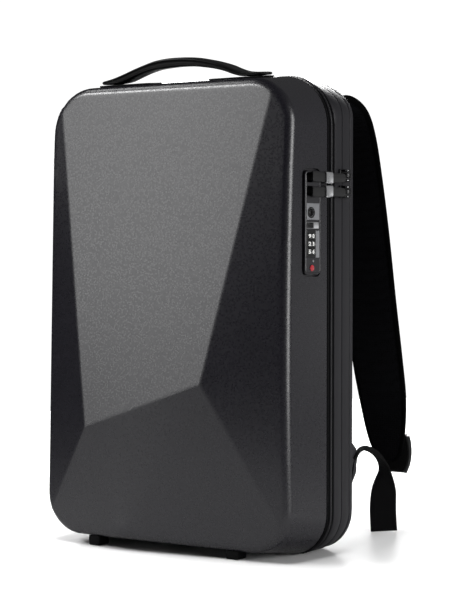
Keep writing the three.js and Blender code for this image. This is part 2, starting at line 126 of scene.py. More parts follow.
def choose(kind, test):
    """Selects what the test accepts, and counts it."""
    piece = bpy.context.object
    bpy.ops.mesh.select_mode(type=kind)
    bpy.ops.mesh.select_all(action="DESELECT")
    mesh = bmesh.from_edit_mesh(piece.data)
    items = {"VERT": mesh.verts, "EDGE": mesh.edges, "FACE": mesh.faces}[kind]
    found = [item for item in items if test(item)]
    for item in found:
        item.select_set(True)
    mesh.select_flush_mode()
    bmesh.update_edit_mesh(piece.data)
    return len(found)


def named(name):
    """The primitive that was just added, under its own name."""
    piece = bpy.context.object
    piece.name = name
    piece.data.name = name
    return piece


def settle():
    """Puts the active piece's place, turn and size into its mesh."""
    bpy.ops.object.transform_apply(location=True, rotation=True, scale=True)


def apply_modifier(piece, kind, **settings):
    pick(piece)
    made = piece.modifiers.new(kind.title(), kind)
    for name, value in settings.items():
        setattr(made, name, value)
    bpy.ops.object.modifier_apply(modifier=made.name)


def smooth_shade(piece, degrees=35):
    pick(piece)
    bpy.ops.object.shade_smooth_by_angle(angle=math.radians(degrees))


# %% Blocks, sweeps and copies


def block(name, low, high, round_by, segments=3, place=None):
    """A cube sized between two corners in millimetres, its edges rounded by a bevel."""
    clear_selection()
    size = [b - a for a, b in zip(low, high)]
    middle = [(a + b) / 2 * MM for a, b in zip(low, high)]
    bpy.ops.mesh.primitive_cube_add(size=1, location=middle, scale=[s * MM for s in size])
    piece = named(name)
    settle()
    bpy.ops.object.mode_set(mode="EDIT")
    bpy.ops.mesh.select_all(action="SELECT")
    bpy.ops.mesh.bevel(offset=round_by * MM, segments=segments, affect="EDGES")
    close_edit()
    if place is not None:
        piece.matrix_world = place
        settle()
    return piece


def lay_selected(points):
    """Moves the selected vertices, in the order they were made, onto points."""
    piece = bpy.context.object
    mesh = bmesh.from_edit_mesh(piece.data)
    chosen = [v for v in mesh.verts if v.select]
    for vertex, point in zip(chosen, points):
        vertex.co = point
    bmesh.update_edit_mesh(piece.data)


def sweep(name, rings, capped=True, closed=False):
    """Extrudes a circle's outline from ring to ring: solid when capped, else a band or closed loop."""
    clear_selection()
    fill = "NGON" if capped else "NOTHING"
    bpy.ops.mesh.primitive_circle_add(vertices=len(rings[0]), fill_type=fill)
    piece = named(name)
    bpy.ops.object.mode_set(mode="EDIT")
    bpy.ops.mesh.select_mode(type="FACE" if capped else "EDGE")
    bpy.ops.mesh.select_all(action="SELECT")
    lay_selected(rings[0])
    extrude = bpy.ops.mesh.extrude_region_move if capped else bpy.ops.mesh.extrude_edges_move
    for ring in rings[1:]:
        extrude()
        lay_selected(ring)
    if closed:
        choose("EDGE", lambda e: e.is_boundary)
        bpy.ops.mesh.bridge_edge_loops()
    bpy.ops.mesh.select_all(action="SELECT")
    bpy.ops.mesh.normals_make_consistent(inside=False)
    close_edit()
    unroll(piece, rings)
    return piece


def unroll(piece, rings):
    """A UV map in metres: u round each ring and v from ring to ring, so a weave follows the piece."""
    count = len(rings[0])
    middle = rings[len(rings) // 2]
    steps = [(Vector(middle[(i + 1) % count]) - Vector(middle[i])).length for i in range(count)]
    around = np.concatenate([[0], np.cumsum(steps)])
    heights = [0.0]
    for here, there in zip(rings, rings[1:]):
        gaps = [(Vector(b) - Vector(a)).length for a, b in zip(here, there)]
        heights.append(heights[-1] + sum(gaps) / count)
    layer = piece.data.uv_layers.new(name="cloth")
    for face in piece.data.polygons:
        columns = [v % count for v in face.vertices]
        wraps = max(columns) - min(columns) > count / 2
        for corner, vertex in zip(face.loop_indices, face.vertices):
            column = vertex % count
            if wraps and column == 0:
                column = count
            layer.data[corner].uv = (around[column], heights[vertex // count])


def copies(name, template, places):
    """One mesh of many copies of a small modelled piece, which is then removed."""
    source = template.data
    points = np.array([v.co for v in source.vertices])
    faces = [list(f.vertices) for f in source.polygons]
    count = len(points)
    moved = []
    for place in places:
        matrix = np.array(place)
        moved.append(points @ matrix[:3, :3].T + matrix[:3, 3])
    mesh = bpy.data.meshes.new(name)
    all_faces = [[v + k * count for v in face] for k in range(len(places)) for face in faces]
    mesh.from_pydata(np.concatenate(moved).tolist(), [], all_faces)
    piece = bpy.data.objects.new(name, mesh)
    bpy.context.scene.collection.objects.link(piece)
    bpy.data.objects.remove(template)
    return piece


def join(pieces):
    """Joins pieces into the first."""
    pick(pieces[0])
    for piece in pieces[1:]:
        piece.select_set(True)
    bpy.ops.object.join()
    return pieces[0]


def seat(piece, material, slot, *nodes, body="bag", degrees=35):
    """The piece gets its finish, rides on its body and stands for its solids."""
    if not piece.data.materials:
        piece.data.materials.append(material)
    smooth_shade(piece, degrees)
    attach(piece, body)
    if nodes:
        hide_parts(*nodes)
    print(piece.name, len(piece.data.polygons), "faces")
    return piece


# %% [markdown]
# ## Finishes
# Each finish starts from what the real thing is made of. Colours are sRGB hex values, turned to the
# linear values that the shader wants. Pattern sizes are real millimetres. The patterns are made by
# nodes and not by pictures, so they stay sharp from near and need no file.

# %% Shader helpers


def colour(code):
    """sRGB hex to linear RGBA."""
    parts = [int(code[i:i + 2], 16) / 255 for i in (1, 3, 5)]
    linear = [p / 12.92 if p <= 0.04045 else ((p + 0.055) / 1.055) ** 2.4 for p in parts]
    return (*linear, 1)


def node(tree, kind, feeds=(), **settings):
    """Adds one node, sets it up and feeds its inputs with values or other nodes' outputs."""
    made = tree.nodes.new(kind)
    for name, value in settings.items():
        setattr(made, name, value)
    for socket, value in feeds:
        if isinstance(value, bpy.types.NodeSocket):
            tree.links.new(value, made.inputs[socket])
        else:
            made.inputs[socket].default_value = value
    return made


def blank(name, **sockets):
    """A new material, its node tree and its shader with the sockets that are the same all over."""
    material = bpy.data.materials.new(name)
    material.use_nodes = True
    shader = material.node_tree.nodes["Principled BSDF"]
    for socket, value in sockets.items():
        shader.inputs[socket.replace("_", " ")].default_value = value
    return material, material.node_tree, shader


def wire(tree, shader, **outputs):
    """Links other nodes' outputs to the shader's sockets."""
    for socket, output in outputs.items():
        tree.links.new(output, shader.inputs[socket.replace("_", " ")])


def per_metre(size):
    """How many features of a size in millimetres fit in a metre."""
    return 1 / (size * MM)


# %% [markdown]
# ### Moulded plastics and rubbers
# Most hard pieces come out of a mould, which leaves fine pebbles that break up the sheen. Displacing
# the mesh for them would take millions of faces. Bump and gloss that follow one Voronoi pattern take
# none, and one recipe then serves every plastic, with its own colours, gloss and grain.

# %% Moulded plastics and rubbers
GRAIN_LOW, GRAIN_HIGH = 0.3, 0.7
GRAIN_STRENGTH, GLOSS_SWING = 0.5, 0.03


def moulded(name, dark, light, rough, grain, depth, patch=40, **sockets):
    """A moulded surface: cloudy colour, uneven gloss and the pebbled grain that the mould left."""
    material, tree, shader = blank(name, **sockets)
    place = node(tree, "ShaderNodeTexCoord").outputs["Object"]
    cloud = node(tree, "ShaderNodeTexNoise", [("Vector", place), ("Scale", per_metre(patch)), ("Detail", 3)])
    mix = node(tree, "ShaderNodeMix", [(0, cloud.outputs[0]), (6, colour(dark)), (7, colour(light))],
               data_type="RGBA")
    fine = node(tree, "ShaderNodeTexVoronoi", [("Vector", place), ("Scale", per_metre(grain))], feature="F1")
    gloss = node(tree, "ShaderNodeMapRange", [("Value", fine.outputs[0]), ("From Min", GRAIN_LOW),
                 ("From Max", GRAIN_HIGH), ("To Min", rough - GLOSS_SWING), ("To Max", rough + GLOSS_SWING)])
    bump = node(tree, "ShaderNodeBump", [("Strength", GRAIN_STRENGTH), ("Distance", depth * MM),
                ("Height", fine.outputs[0])])
    wire(tree, shader, Base_Color=mix.outputs[2], Roughness=gloss.outputs[0], Normal=bump.outputs[0])
    return material


# Polycarbonate, vacuum formed with a fine pebbled grain: charcoal, with a broad soft sheen. The real
# pebbles are finer than a pixel, so they are drawn 2.3 mm wide to show
shell_plastic = moulded("grained_polycarbonate", "#141318", "#18171d", 0.3, 2.3, 0.008, IOR=1.5)
# Extruded vinyl: a little darker and smoother
welt_vinyl = moulded("extruded_vinyl", "#121115", "#17161b", 0.55, 1.2, 0.03, patch=15, IOR=1.53,
                     Specular_IOR_Level=0.35)
# Acetal: slippery black buckles and pulls, satin from the mould
acetal = moulded("black_acetal", "#09090a", "#0f0f10", 0.38, 0.8, 0.03, patch=10, IOR=1.48)
# Thermoplastic rubber of the grip: soft to the touch, so its sheen is wide
grip_rubber = moulded("soft_touch_rubber", "#060607", "#0b0b0c", 0.4, 0.7, 0.02, patch=12, IOR=1.5,
                      Specular_IOR_Level=0.5)
# Moulded rubber of the feet and of the handle's seats: matt, so it shows almost no light
foot_rubber = moulded("foot_rubber", "#030304", "#060607", 0.7, 1, 0.08, patch=8, IOR=1.5,
                      Specular_IOR_Level=0.1)
# ABS with a spark-eroded grain: the grey of the lock
lock_abs = moulded("spark_eroded_abs", "#131216", "#19181d", 0.36, 0.6, 0.03, patch=12, IOR=1.53)
# Zinc die casting under black paint: the zip's sliders and the lock's key plug
painted_zinc = moulded("black_painted_zinc", "#040406", "#09090b", 0.3, 0.7, 0.02, patch=6, IOR=1.5,
                       Specular_IOR_Level=0.25)
# Glossy red polystyrene
red_plastic = moulded("red_polystyrene", "#a3202a", "#b02a34", 0.25, 0.8, 0.01, patch=3, IOR=1.59)
# ABS under silver paint: the pale plates of the lock, without a mirror's dark side
silver_paint = moulded("silver_painted_abs", "#68696c", "#7a7b7e", 0.42, 0.5, 0.01, patch=5, IOR=1.5)
# White pad-printed ink: the numbers on the dials
white_ink = moulded("white_printing_ink", "#e4e4e2", "#f0f0ee", 0.5, 0.3, 0.005, patch=2, IOR=1.5)
print("moulded finishes made")

# %% [markdown]
# ### Metal
# The bright pieces of the lock and the pulls are plated castings with a satin polish. An anisotropic
# shader could stretch their highlights. Fine scratches in bump and gloss do the same, and they also
# show when the lens comes close.

# %% Metal
# The scratches' width and depth in millimetres, their stretch, and how far they swing bump and gloss
SCRATCH, SCRATCH_DEPTH = 0.3, 0.01
SCRATCH_STRETCH, SCRATCH_STRENGTH, SCRATCH_SWING = (1, 0.06, 1), 0.4, 0.08


def satin_metal(name, dark, light, rough):
    """Plated zinc, brushed along the bag's depth: fine scratches stretch the highlights."""
    material, tree, shader = blank(name, Metallic=1)
    place = node(tree, "ShaderNodeTexCoord").outputs["Object"]
    stretch = node(tree, "ShaderNodeMapping", [("Vector", place), ("Scale", SCRATCH_STRETCH)])
    scratch = node(tree, "ShaderNodeTexNoise", [("Vector", stretch.outputs[0]), ("Scale", per_metre(SCRATCH)),
                   ("Detail", 3)])
    mix = node(tree, "ShaderNodeMix", [(0, scratch.outputs[0]), (6, colour(dark)), (7, colour(light))],
               data_type="RGBA")
    gloss = node(tree, "ShaderNodeMapRange", [("Value", scratch.outputs[0]), ("From Min", GRAIN_LOW),
                 ("From Max", GRAIN_HIGH), ("To Min", rough - SCRATCH_SWING),
                 ("To Max", rough + SCRATCH_SWING)])
    bump = node(tree, "ShaderNodeBump", [("Strength", SCRATCH_STRENGTH), ("Distance", SCRATCH_DEPTH * MM),
                ("Height", scratch.outputs[0])])
    wire(tree, shader, Base_Color=mix.outputs[2], Roughness=gloss.outputs[0], Normal=bump.outputs[0])
    return material


# Nickel plate with a satin polish: the pulls' cuffs, the slide's bed and the rivets, light grey all over
nickel = satin_metal("satin_nickel", "#cccdcf", "#e6e7e9", 0.34)
print("metal made")

# %% [markdown]
# ### Woven cloths
# The gusset, the tapes and the webbing are woven: threads cross at right angles, one over the other.
# A checker alone would look printed, so warp and weft are two sine waves, and the checker only says
# which of the two is on top. They are drawn on the UV map, so that the weave follows each piece.

# %% Woven cloths
FIBRE_PATCH, WEAVE_STRENGTH = 12, 0.6


def woven(name, dark, light, rough, warp, weft, depth, **sockets):
    """A plain weave with threads of the given spacing in millimetres."""
    material, tree, shader = blank(name, Roughness=rough, **sockets)
    place = node(tree, "ShaderNodeTexCoord").outputs["UV"]
    scale = (per_metre(warp), per_metre(weft), 1)
    count = node(tree, "ShaderNodeMapping", [("Vector", place), ("Scale", scale)]).outputs[0]
    axes = node(tree, "ShaderNodeSeparateXYZ", [(0, count)])
    threads = []
    for axis in (0, 1):
        turn = node(tree, "ShaderNodeMath", [(0, axes.outputs[axis]), (1, math.pi)], operation="MULTIPLY")
        wave = node(tree, "ShaderNodeMath", [(0, turn.outputs[0])], operation="SINE")
        threads.append(node(tree, "ShaderNodeMath", [(0, wave.outputs[0])], operation="ABSOLUTE"))
    over = node(tree, "ShaderNodeTexChecker", [("Vector", count), ("Scale", 1)])
    weave = node(tree, "ShaderNodeMix", [(0, over.outputs["Fac"]), (2, threads[0].outputs[0]),
                 (3, threads[1].outputs[0])], data_type="FLOAT")
    body = node(tree, "ShaderNodeTexCoord").outputs["Object"]
    fibre = node(tree, "ShaderNodeTexNoise", [("Vector", body), ("Scale", per_metre(FIBRE_PATCH)),
                 ("Detail", 6)])
    # Painted shade, darker between the threads than on their crowns, times random tone from the fibre
    shade = node(tree, "ShaderNodeMath", [(0, weave.outputs[0]), (1, fibre.outputs[0])],
                 operation="MULTIPLY")
    mix = node(tree, "ShaderNodeMix", [(0, shade.outputs[0]), (6, colour(dark)), (7, colour(light))],
               data_type="RGBA")
    bump = node(tree, "ShaderNodeBump", [("Strength", WEAVE_STRENGTH), ("Distance", depth * MM),
                ("Height", weave.outputs[0])])
    wire(tree, shader, Base_Color=mix.outputs[2], Normal=bump.outputs[0])
    return material


# Coated polyester of the gusset: a close weave under a thin vinyl coat
gusset_cloth = woven("coated_polyester", "#121116", "#1e1d23", 0.55, 0.9, 0.9, 0.12, IOR=1.5,
                     Specular_IOR_Level=0.35)
# Nylon webbing, drawn about as coarse as it is, with its ribs along the strap
webbing = woven("nylon_webbing", "#030304", "#09090a", 0.75, 1.4, 1.1, 0.3, IOR=1.5,
                Specular_IOR_Level=0.1)
# Polyester binding tape and the zip's tape
binding = woven("polyester_tape", "#020203", "#060607", 0.75, 0.8, 0.8, 0.12, IOR=1.5,
                Specular_IOR_Level=0.06)
# Bonded polyester thread
thread = woven("polyester_thread", "#141416", "#232326", 0.6, 0.5, 0.5, 0.05, IOR=1.5)
print("woven cloths made")

# %% [markdown]
# ### Spacer mesh
# The pads are covered by a thick knit with small open cells that let air through. The cells could be
# holes in the mesh, but there are thousands. They are drawn as Voronoi cells on Object coordinates,
# because the pads are remeshed for their simulation and have no UV map.

# %% Spacer mesh
# How far a cell's floor and rim lie from its middle, as shares of the pitch, and how uneven cells are
CELL_FLOOR, CELL_RIM, CELL_JITTER = 0.15, 0.5, 0.35
# The fuzz of the yarn: its size in millimetres, and its share of the height
FUZZ, FUZZ_SHARE = 0.5, 0.25
MESH_STRENGTH = 0.7


def spacer_mesh(name, dark, light, pitch, depth):
    """Warp-knitted spacer mesh over foam: rows of small open cells, with painted shade in their pits."""
    material, tree, shader = blank(name, Roughness=0.9, IOR=1.5, Specular_IOR_Level=0.05)
    place = node(tree, "ShaderNodeTexCoord").outputs["Object"]
    cell = node(tree, "ShaderNodeTexVoronoi", [("Vector", place), ("Scale", per_metre(pitch)),
                ("Randomness", CELL_JITTER)], feature="F1")
    fuzz = node(tree, "ShaderNodeTexNoise", [("Vector", place), ("Scale", per_metre(FUZZ)), ("Detail", 2)])
    pit_depth_and_shade = node(tree, "ShaderNodeMapRange", [("Value", cell.outputs["Distance"]), ("From Min", CELL_FLOOR),
                  ("From Max", CELL_RIM)])
    height = node(tree, "ShaderNodeMath", [(0, fuzz.outputs[0]), (1, FUZZ_SHARE), (2, pit_depth_and_shade.outputs[0])],
                  operation="MULTIPLY_ADD")
    # The colour follows the height: painted shade in the cells' pits, and random tone from the yarn's fuzz
    mix = node(tree, "ShaderNodeMix", [(0, height.outputs[0]), (6, colour(dark)), (7, colour(light))],
               data_type="RGBA")
    bump = node(tree, "ShaderNodeBump", [("Strength", MESH_STRENGTH), ("Distance", depth * MM),
                ("Height", height.outputs[0])])
    wire(tree, shader, Base_Color=mix.outputs[2], Normal=bump.outputs[0])
    return material


# Polyester spacer mesh of the back and the straps: matt black, with open cells 2.4 mm apart
pad_mesh = spacer_mesh("spacer_mesh", "#09090a", "#19191c", 2.4, 0.5)
print("spacer mesh made")

# %% [markdown]
# ## Front shell
# The real shell is one sheet of plastic, drawn over a mould, with four broad facets. It could be
# drawn corner by corner, but cutting is closer to how the form reads: a tapered block loses a slice
# for each facet. Three of the facets are gently curved, so they are cut as fans of planes and smoothed.

# %% A tapered block with round corners
AHEAD = -60
CORNER_STEPS = 14
UPPER_RADIUS = 50
LEFT_LEAN = 2.6
# A face whose normal has less than this along y looks to the front
FACING_FRONT = -0.25


def half_sizes(depth):
    """Half width and half height of the shell at a depth."""
    grow = DRAFT * depth / SHELL_DEPTH
    return RIM_WIDTH / 2 + grow, RIM_HEIGHT / 2 + grow


def top_level(depth):
    """Height of the shell's top at a depth."""
    return TOP_EDGE_Z + (SEAM_TOP_Z - TOP_EDGE_Z) * depth / SHELL_DEPTH


clear_selection()
block_middle = spot(0, (AHEAD + SHELL_DEPTH) / 2, MIDDLE_Z)
block_size = (2 * SEAM_HALF_WIDTH * MM, (SHELL_DEPTH - AHEAD) * MM, 2 * SEAM_HALF_HEIGHT * MM)
bpy.ops.mesh.primitive_cube_add(size=1, location=block_middle, scale=block_size)
shell = named("moulded_shell")
settle()
bpy.ops.object.mode_set(mode="EDIT")
choose("FACE", lambda f: f.normal.y < FACING_FRONT)
front_width, front_height = half_sizes(AHEAD)
bpy.ops.transform.resize(value=(front_width / SEAM_HALF_WIDTH, 1, front_height / SEAM_HALF_HEIGHT),
                         center_override=spot(0, AHEAD, MIDDLE_Z))
for depth in (AHEAD, SHELL_DEPTH):
    level = top_level(depth)
    choose("VERT", lambda v: v.co.z > MIDDLE_Z * MM and abs(v.co.y / MM - RIM_Y - depth) < 1)
    bpy.ops.transform.translate(value=(0, 0, (level - MIDDLE_Z - half_sizes(depth)[1]) * MM))
choose("VERT", lambda v: v.co.x < 0 and v.co.y < spot(0, 0, 0).y)
bpy.ops.transform.translate(value=(-LEFT_LEAN * MM, 0, 0))
choose("EDGE", lambda e: abs(e.verts[0].co.y - e.verts[1].co.y) > SHELL_DEPTH * MM)
bpy.ops.mesh.bevel(offset=CORNER_RADIUS * MM, segments=CORNER_STEPS, affect="EDGES")
rear = spot(0, SHELL_DEPTH, 0).y
choose("VERT", lambda v: abs(v.co.y - rear) < MM and v.co.z > (SEAM_TOP_Z - CORNER_RADIUS - 1) * MM)
mesh = bmesh.from_edit_mesh(shell.data)
for vertex in [v for v in mesh.verts if v.select]:
    up = vertex.co.z / MM - SEAM_TOP_Z + CORNER_RADIUS
    turn = math.atan2(up, abs(vertex.co.x) / MM - SEAM_HALF_WIDTH + CORNER_RADIUS)
    side = math.copysign(1, vertex.co.x)
    x = side * (SEAM_HALF_WIDTH - UPPER_RADIUS + UPPER_RADIUS * math.cos(turn))
    vertex.co = spot(x, SHELL_DEPTH, SEAM_TOP_Z - UPPER_RADIUS + UPPER_RADIUS * math.sin(turn))
bmesh.update_edit_mesh(shell.data)
print("tapered block:", len(mesh.faces), "faces")

# %% Slices for the facets
RIM_X, RIGHT_LOW_Z = RIM_WIDTH / 2, 20
FACET_POINTS = {
    "top": (0, 0, RIM_TOP_Z), "right_peak": (58, -25.6, 171), "left_peak": (-82, -30, 122),
    "left_top": (-RIM_X, 1.4, RIM_TOP_Z), "left_high": (-RIM_X, -2.9, 392), "left_low": (-RIM_X, -13.5, 30),
    "base_ridge": (-40, -26, 12), "base_corner": (-123, -19.5, 56), "right_low": (RIM_X, -1.5, RIGHT_LOW_Z),
}
RIGHT_RIM = {RIM_TOP_Z: 2.9, MIDDLE_Z: -5, RIGHT_LOW_Z: -1.5}
UPPER, RIGHT, LOWER, LEFT, ROUNDED = 1, 2, 3, 4, 5
FAN_STEPS = 6


def curve_through(points, z):
    """Depth at a height on the parabola through three height: depth pairs."""
    total = 0
    for here, depth in points.items():
        share = 1
        for other in points:
            if other != here:
                share *= (z - other) / (here - other)
        total += depth * share
    return total


right_heights = [RIM_TOP_Z + (RIGHT_LOW_Z - RIM_TOP_Z) * k / FAN_STEPS for k in range(FAN_STEPS + 1)]
right_rim = [(RIM_X, curve_through(RIGHT_RIM, z), z) for z in right_heights]
facets = [(UPPER, ["top", "left_peak", "right_peak"]), (LEFT, ["left_peak", "left_top", "left_high"]),
          (LEFT, ["left_peak", "left_high", "left_low"]),
          (LOWER, ["right_peak", "base_ridge", "right_low"]),
          (LOWER, ["right_peak", "left_peak", "base_ridge"]),
          (LOWER, ["left_peak", "base_ridge", "base_corner"])]
planes = [(facet, [FACET_POINTS[name] for name in names]) for facet, names in facets]
planes += [(RIGHT, [FACET_POINTS["right_peak"], a, b]) for a, b in zip(right_rim, right_rim[1:])]
cuts = []
for facet, corners in planes:
    a, b, c = (spot(*corner) for corner in corners)
    normal = (b - a).cross(c - a).normalized()
    if normal.y > 0:
        normal.negate()
    cuts.append((facet, a, normal))
    bpy.ops.mesh.select_all(action="SELECT")
    bpy.ops.mesh.bisect(plane_co=a, plane_no=normal, use_fill=True, clear_outer=True)
print("shell cut by", len(cuts), "planes")

# %% Rounded rim and creases
RIM_ROUND = {"top": 8.5, "right": 7.3, "bottom": 6, "left": 5}
WIDEST_ROUND = max(RIM_ROUND.values())
CREASE_ROUND = 1.8
CREASE_CLEAR = 9
ROUND_STEPS = 6
SAME_WAY, SAME_PLANE = 0.99999, 1e-5


def facet_of(face):
    """Which facet a face was cut for, or 0 for the walls."""
    for facet, point, normal in cuts:
        off = abs((face.calc_center_median() - point).dot(normal))
        if face.normal.dot(normal) > SAME_WAY and off < SAME_PLANE:
            return facet
    return 0


def rim_round(wall):
    """How far the rim is rounded at a wall face, blended between the four sides."""
    x, z = wall.normal.x, wall.normal.z
    across = RIM_ROUND["right"] if x > 0 else RIM_ROUND["left"]
    upright = RIM_ROUND["top"] if z > 0 else RIM_ROUND["bottom"]
    return (across * x * x + upright * z * z) / (x * x + z * z)


for _ in range(ROUNDED + 1):
    shell.data.materials.append(None)
mesh = bmesh.from_edit_mesh(shell.data)
mesh.normal_update()
weights = mesh.edges.layers.float.new("bevel_weight_edge")
for face in mesh.faces:
    face.material_index = facet_of(face)
for edge in mesh.edges:
    walls = [face for face in edge.link_faces if face.material_index == 0]
    if len({face.material_index for face in edge.link_faces}) == 2:
        edge[weights] = (rim_round(walls[0]) if walls else CREASE_ROUND) / WIDEST_ROUND
crease_ends = [v for v in mesh.verts if len({f.material_index for f in v.link_faces}) > 2]
welds = {}
for end in crease_ends:
    for edge in end.link_edges:
        near = edge.other_vert(end)
        if edge.calc_length() < CREASE_CLEAR * MM and near not in crease_ends:
            welds[near] = end
bmesh.ops.weld_verts(mesh, targetmap=welds)
bmesh.update_edit_mesh(shell.data)
close_edit()
apply_modifier(shell, "BEVEL", width=WIDEST_ROUND * MM, segments=ROUND_STEPS, limit_method="WEIGHT",
               material=ROUNDED, use_clamp_overlap=False)
print("rounded shell:", len(shell.data.polygons), "faces")

# %% Fine slices, then smoothing inside the curved facets
SLICE = 4.5
FACING_BACK = 0.9
EASE, FACET_PASSES = 0.5, 250
RIDGE_REACH, RIDGE_PASSES = 24, 20

open_edit(shell)
choose("FACE", lambda f: f.normal.y > FACING_BACK)
bpy.ops.mesh.delete(type="FACE")
choose("FACE", lambda f: f.normal.y < FACING_FRONT)
bpy.ops.mesh.hide(unselected=True)
for axis, reach in ((0, RIM_WIDTH / 2), (2, RIM_HEIGHT / 2)):
    direction = [0, 0, 0]
    direction[axis] = 1
    for k in range(1, round(2 * reach / SLICE)):
        across = -reach + k * SLICE
        point = spot(across, 0, 0) if axis == 0 else spot(0, 0, MIDDLE_Z + across)
        bpy.ops.mesh.select_all(action="SELECT")
        bpy.ops.mesh.bisect(plane_co=point, plane_no=direction)
bpy.ops.mesh.reveal()
for facet in (RIGHT, LOWER, LEFT):
    inside = choose("VERT", lambda v: v.link_faces and all(f.material_index == facet for f in v.link_faces))
    bpy.ops.mesh.vertices_smooth(factor=EASE, repeat=FACET_PASSES)
    print("facet", facet, "smoothed at", inside, "vertices")
ridge_end = spot(*FACET_POINTS["base_ridge"])
near = choose("VERT", lambda v: (v.co - ridge_end).length < RIDGE_REACH * MM)
bpy.ops.mesh.vertices_smooth(factor=EASE, repeat=RIDGE_PASSES)
print("ridge end smoothed at", near, "vertices")
close_edit()

# %% A wall of even thickness, and the lock's window
SHELL_WALL = 2.5
# Edges over this angle, in degrees, stay sharp. A weight over 50 lets the large faces lead the shading
SHELL_SHARP, NORMAL_WEIGHT = 40, 60
LOCK_DEPTH, LOCK_Z = 30.5, 326
LOCK_FACE, LOCK_CORNER = (24, 100), 5
LOCK_GAP = 2
WINDOW_REACH = 8


def round_plate(name, back, front, grow):
    """A plate of the lock's outline between two distances from the wall, grown all round."""
    clear_selection()
    width, height = ((side + 2 * grow) * MM for side in LOCK_FACE)
    bpy.ops.mesh.primitive_cube_add(size=1, location=((back + front) / 2 * MM, 0, 0),
                                    scale=((front - back) * MM, width, height))
    piece = named(name)
    settle()
    bpy.ops.object.mode_set(mode="EDIT")
    choose("EDGE", lambda e: abs(e.verts[0].co.x - e.verts[1].co.x) > MM / 2)
    bpy.ops.mesh.bevel(offset=(LOCK_CORNER + grow) * MM, segments=ROUND_STEPS, affect="EDGES")
    close_edit()
    return piece


for face in shell.data.polygons:
    face.material_index = 0
shell.data.materials.clear()
apply_modifier(shell, "SOLIDIFY", thickness=SHELL_WALL * MM, offset=-1)
LOCK_TURN = -math.atan2(DRAFT, SHELL_DEPTH)
LOCK = Matrix.Translation(spot(half_sizes(LOCK_DEPTH)[0], LOCK_DEPTH, LOCK_Z))
LOCK = LOCK @ Matrix.Rotation(LOCK_TURN, 4, "Z")
window = round_plate("window", -WINDOW_REACH, WINDOW_REACH, LOCK_GAP)
window.matrix_world = LOCK
settle()
apply_modifier(shell, "BOOLEAN", object=window, operation="DIFFERENCE", solver="EXACT")
bpy.data.objects.remove(window)
shell.data.materials.append(shell_plastic)
smooth_shade(shell, SHELL_SHARP)
apply_modifier(shell, "WEIGHTED_NORMAL", keep_sharp=True, weight=NORMAL_WEIGHT)
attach(shell, "bag")
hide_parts("front_shell")
print("shell:", len(shell.data.polygons), "faces")

# %% [markdown]
# ## Welt, gusset and zip
# Five bands run round the bag behind the shell: a black tape that laps over the shell's edge, a vinyl
# welt on it, a cloth band, the zip and a second cloth band. Where the tape shows in the grooves on
# both sides of the welt, its black is also painted shade. A curve with a bevel profile could make each.
# Extruding the seam's outline row by row was chosen, because a row can take another outline, and the
# bag's top is crowned behind the welt.

# %% Bands round the body
CROWN, CROWN_ROUND = 2.4, (75, 42)
CROWN_FROM, CROWN_TO = 66, 76
TOP_STEPS = 8
ZIP_DEPTH = 81
# The tape's black, where it shows in the grooves on both sides of the welt, is painted shade there
# inset, depth
WELT_TAPE_AND_GROOVE_SHADE = [(2.8, 53.3), (0.4, 53.4), (0.1, 53.7), (0, 55.8), (0.8, 56.3), (0.8, 67.6), (1, 67.8),
             (2.8, 67.9)]
WELT = [(1, 60.5), (0.1, 60.6), (-0.3, 60.9), (-0.5, 61.4), (-0.5, 61.8), (-0.3, 62.3), (0.1, 62.6),
        (1, 62.7)]
FRONT_BAND = [(2.8, 67.2), (0.9, 67.3), (0.2, 67.8), (-0.2, 69.2), (-0.4, 73), (-0.4, 79.4), (-0.2, 80.3),
              (0.4, 80.6), (2, 80.7)]
REAR_BAND = [(2, 81.2), (0.4, 81.3), (-0.2, 81.6), (-0.4, 82.5), (-0.4, 88), (0, 94), (0.6, 96.4), (2.6, 97)]
ZIP_TAPE = [(2.2, 79.1), (0.9, 79.2), (0.7, 80), (0.8, 80.9), (1.5, 81), (0.8, 81.1), (0.7, 82), (0.9, 82.8),
            (2.2, 82.9)]


def seam_ring(inset, depth):
    """Points round the seam's outline, moved inwards. Behind the welt its top is crowned and rounder."""
    share = min(max((depth - CROWN_FROM) / (CROWN_TO - CROWN_FROM), 0), 1)
    wide, tall = (UPPER_RADIUS + (reach - UPPER_RADIUS) * share for reach in CROWN_ROUND)
    top = SEAM_TOP_Z + CROWN * share
    lower, upper = (CORNER_RADIUS, CORNER_RADIUS, CORNER_RADIUS), (wide, tall, top - tall)
    points = []
    corners = ((1, lower), (1, upper), (-1, upper), (-1, lower))
    for corner, (side, (across, up, middle)) in enumerate(corners):
        for k in range(CORNER_STEPS + 1):
            angle = (corner - 1 + k / CORNER_STEPS) * math.pi / 2
            x = side * (SEAM_HALF_WIDTH - across) + (across - inset) * math.cos(angle)
            z = middle + (up - inset) * math.sin(angle)
            points.append(spot(x, depth, max(z, 0)))
        for k in range(1, TOP_STEPS) if corner == 1 else ():
            away = 1 - 2 * k / TOP_STEPS
            lift = CROWN * share * (1 - away ** 2)
            points.append(spot(away * (SEAM_HALF_WIDTH - across), depth, top - inset + lift))
    return points


def band(name, profile):
    return sweep(name, [seam_ring(*row) for row in profile], capped=False, closed=True)


# A real tape, near black, whose black in the grooves beside the welt is painted shade
seat(band("welt_tape_and_groove_shade", WELT_TAPE_AND_GROOVE_SHADE), binding, "welt")
seat(band("seam_welt", WELT), welt_vinyl, "welt", "welt")
seat(band("gusset_band_front", FRONT_BAND), gusset_cloth, "gusset_cloth", "gusset_front")
seat(band("gusset_band_rear", REAR_BAND), gusset_cloth, "gusset_cloth", "gusset_rear")
seat(band("zip_tape", ZIP_TAPE), binding, "zip_chain", "zip_chain", "base_hinge_strip")

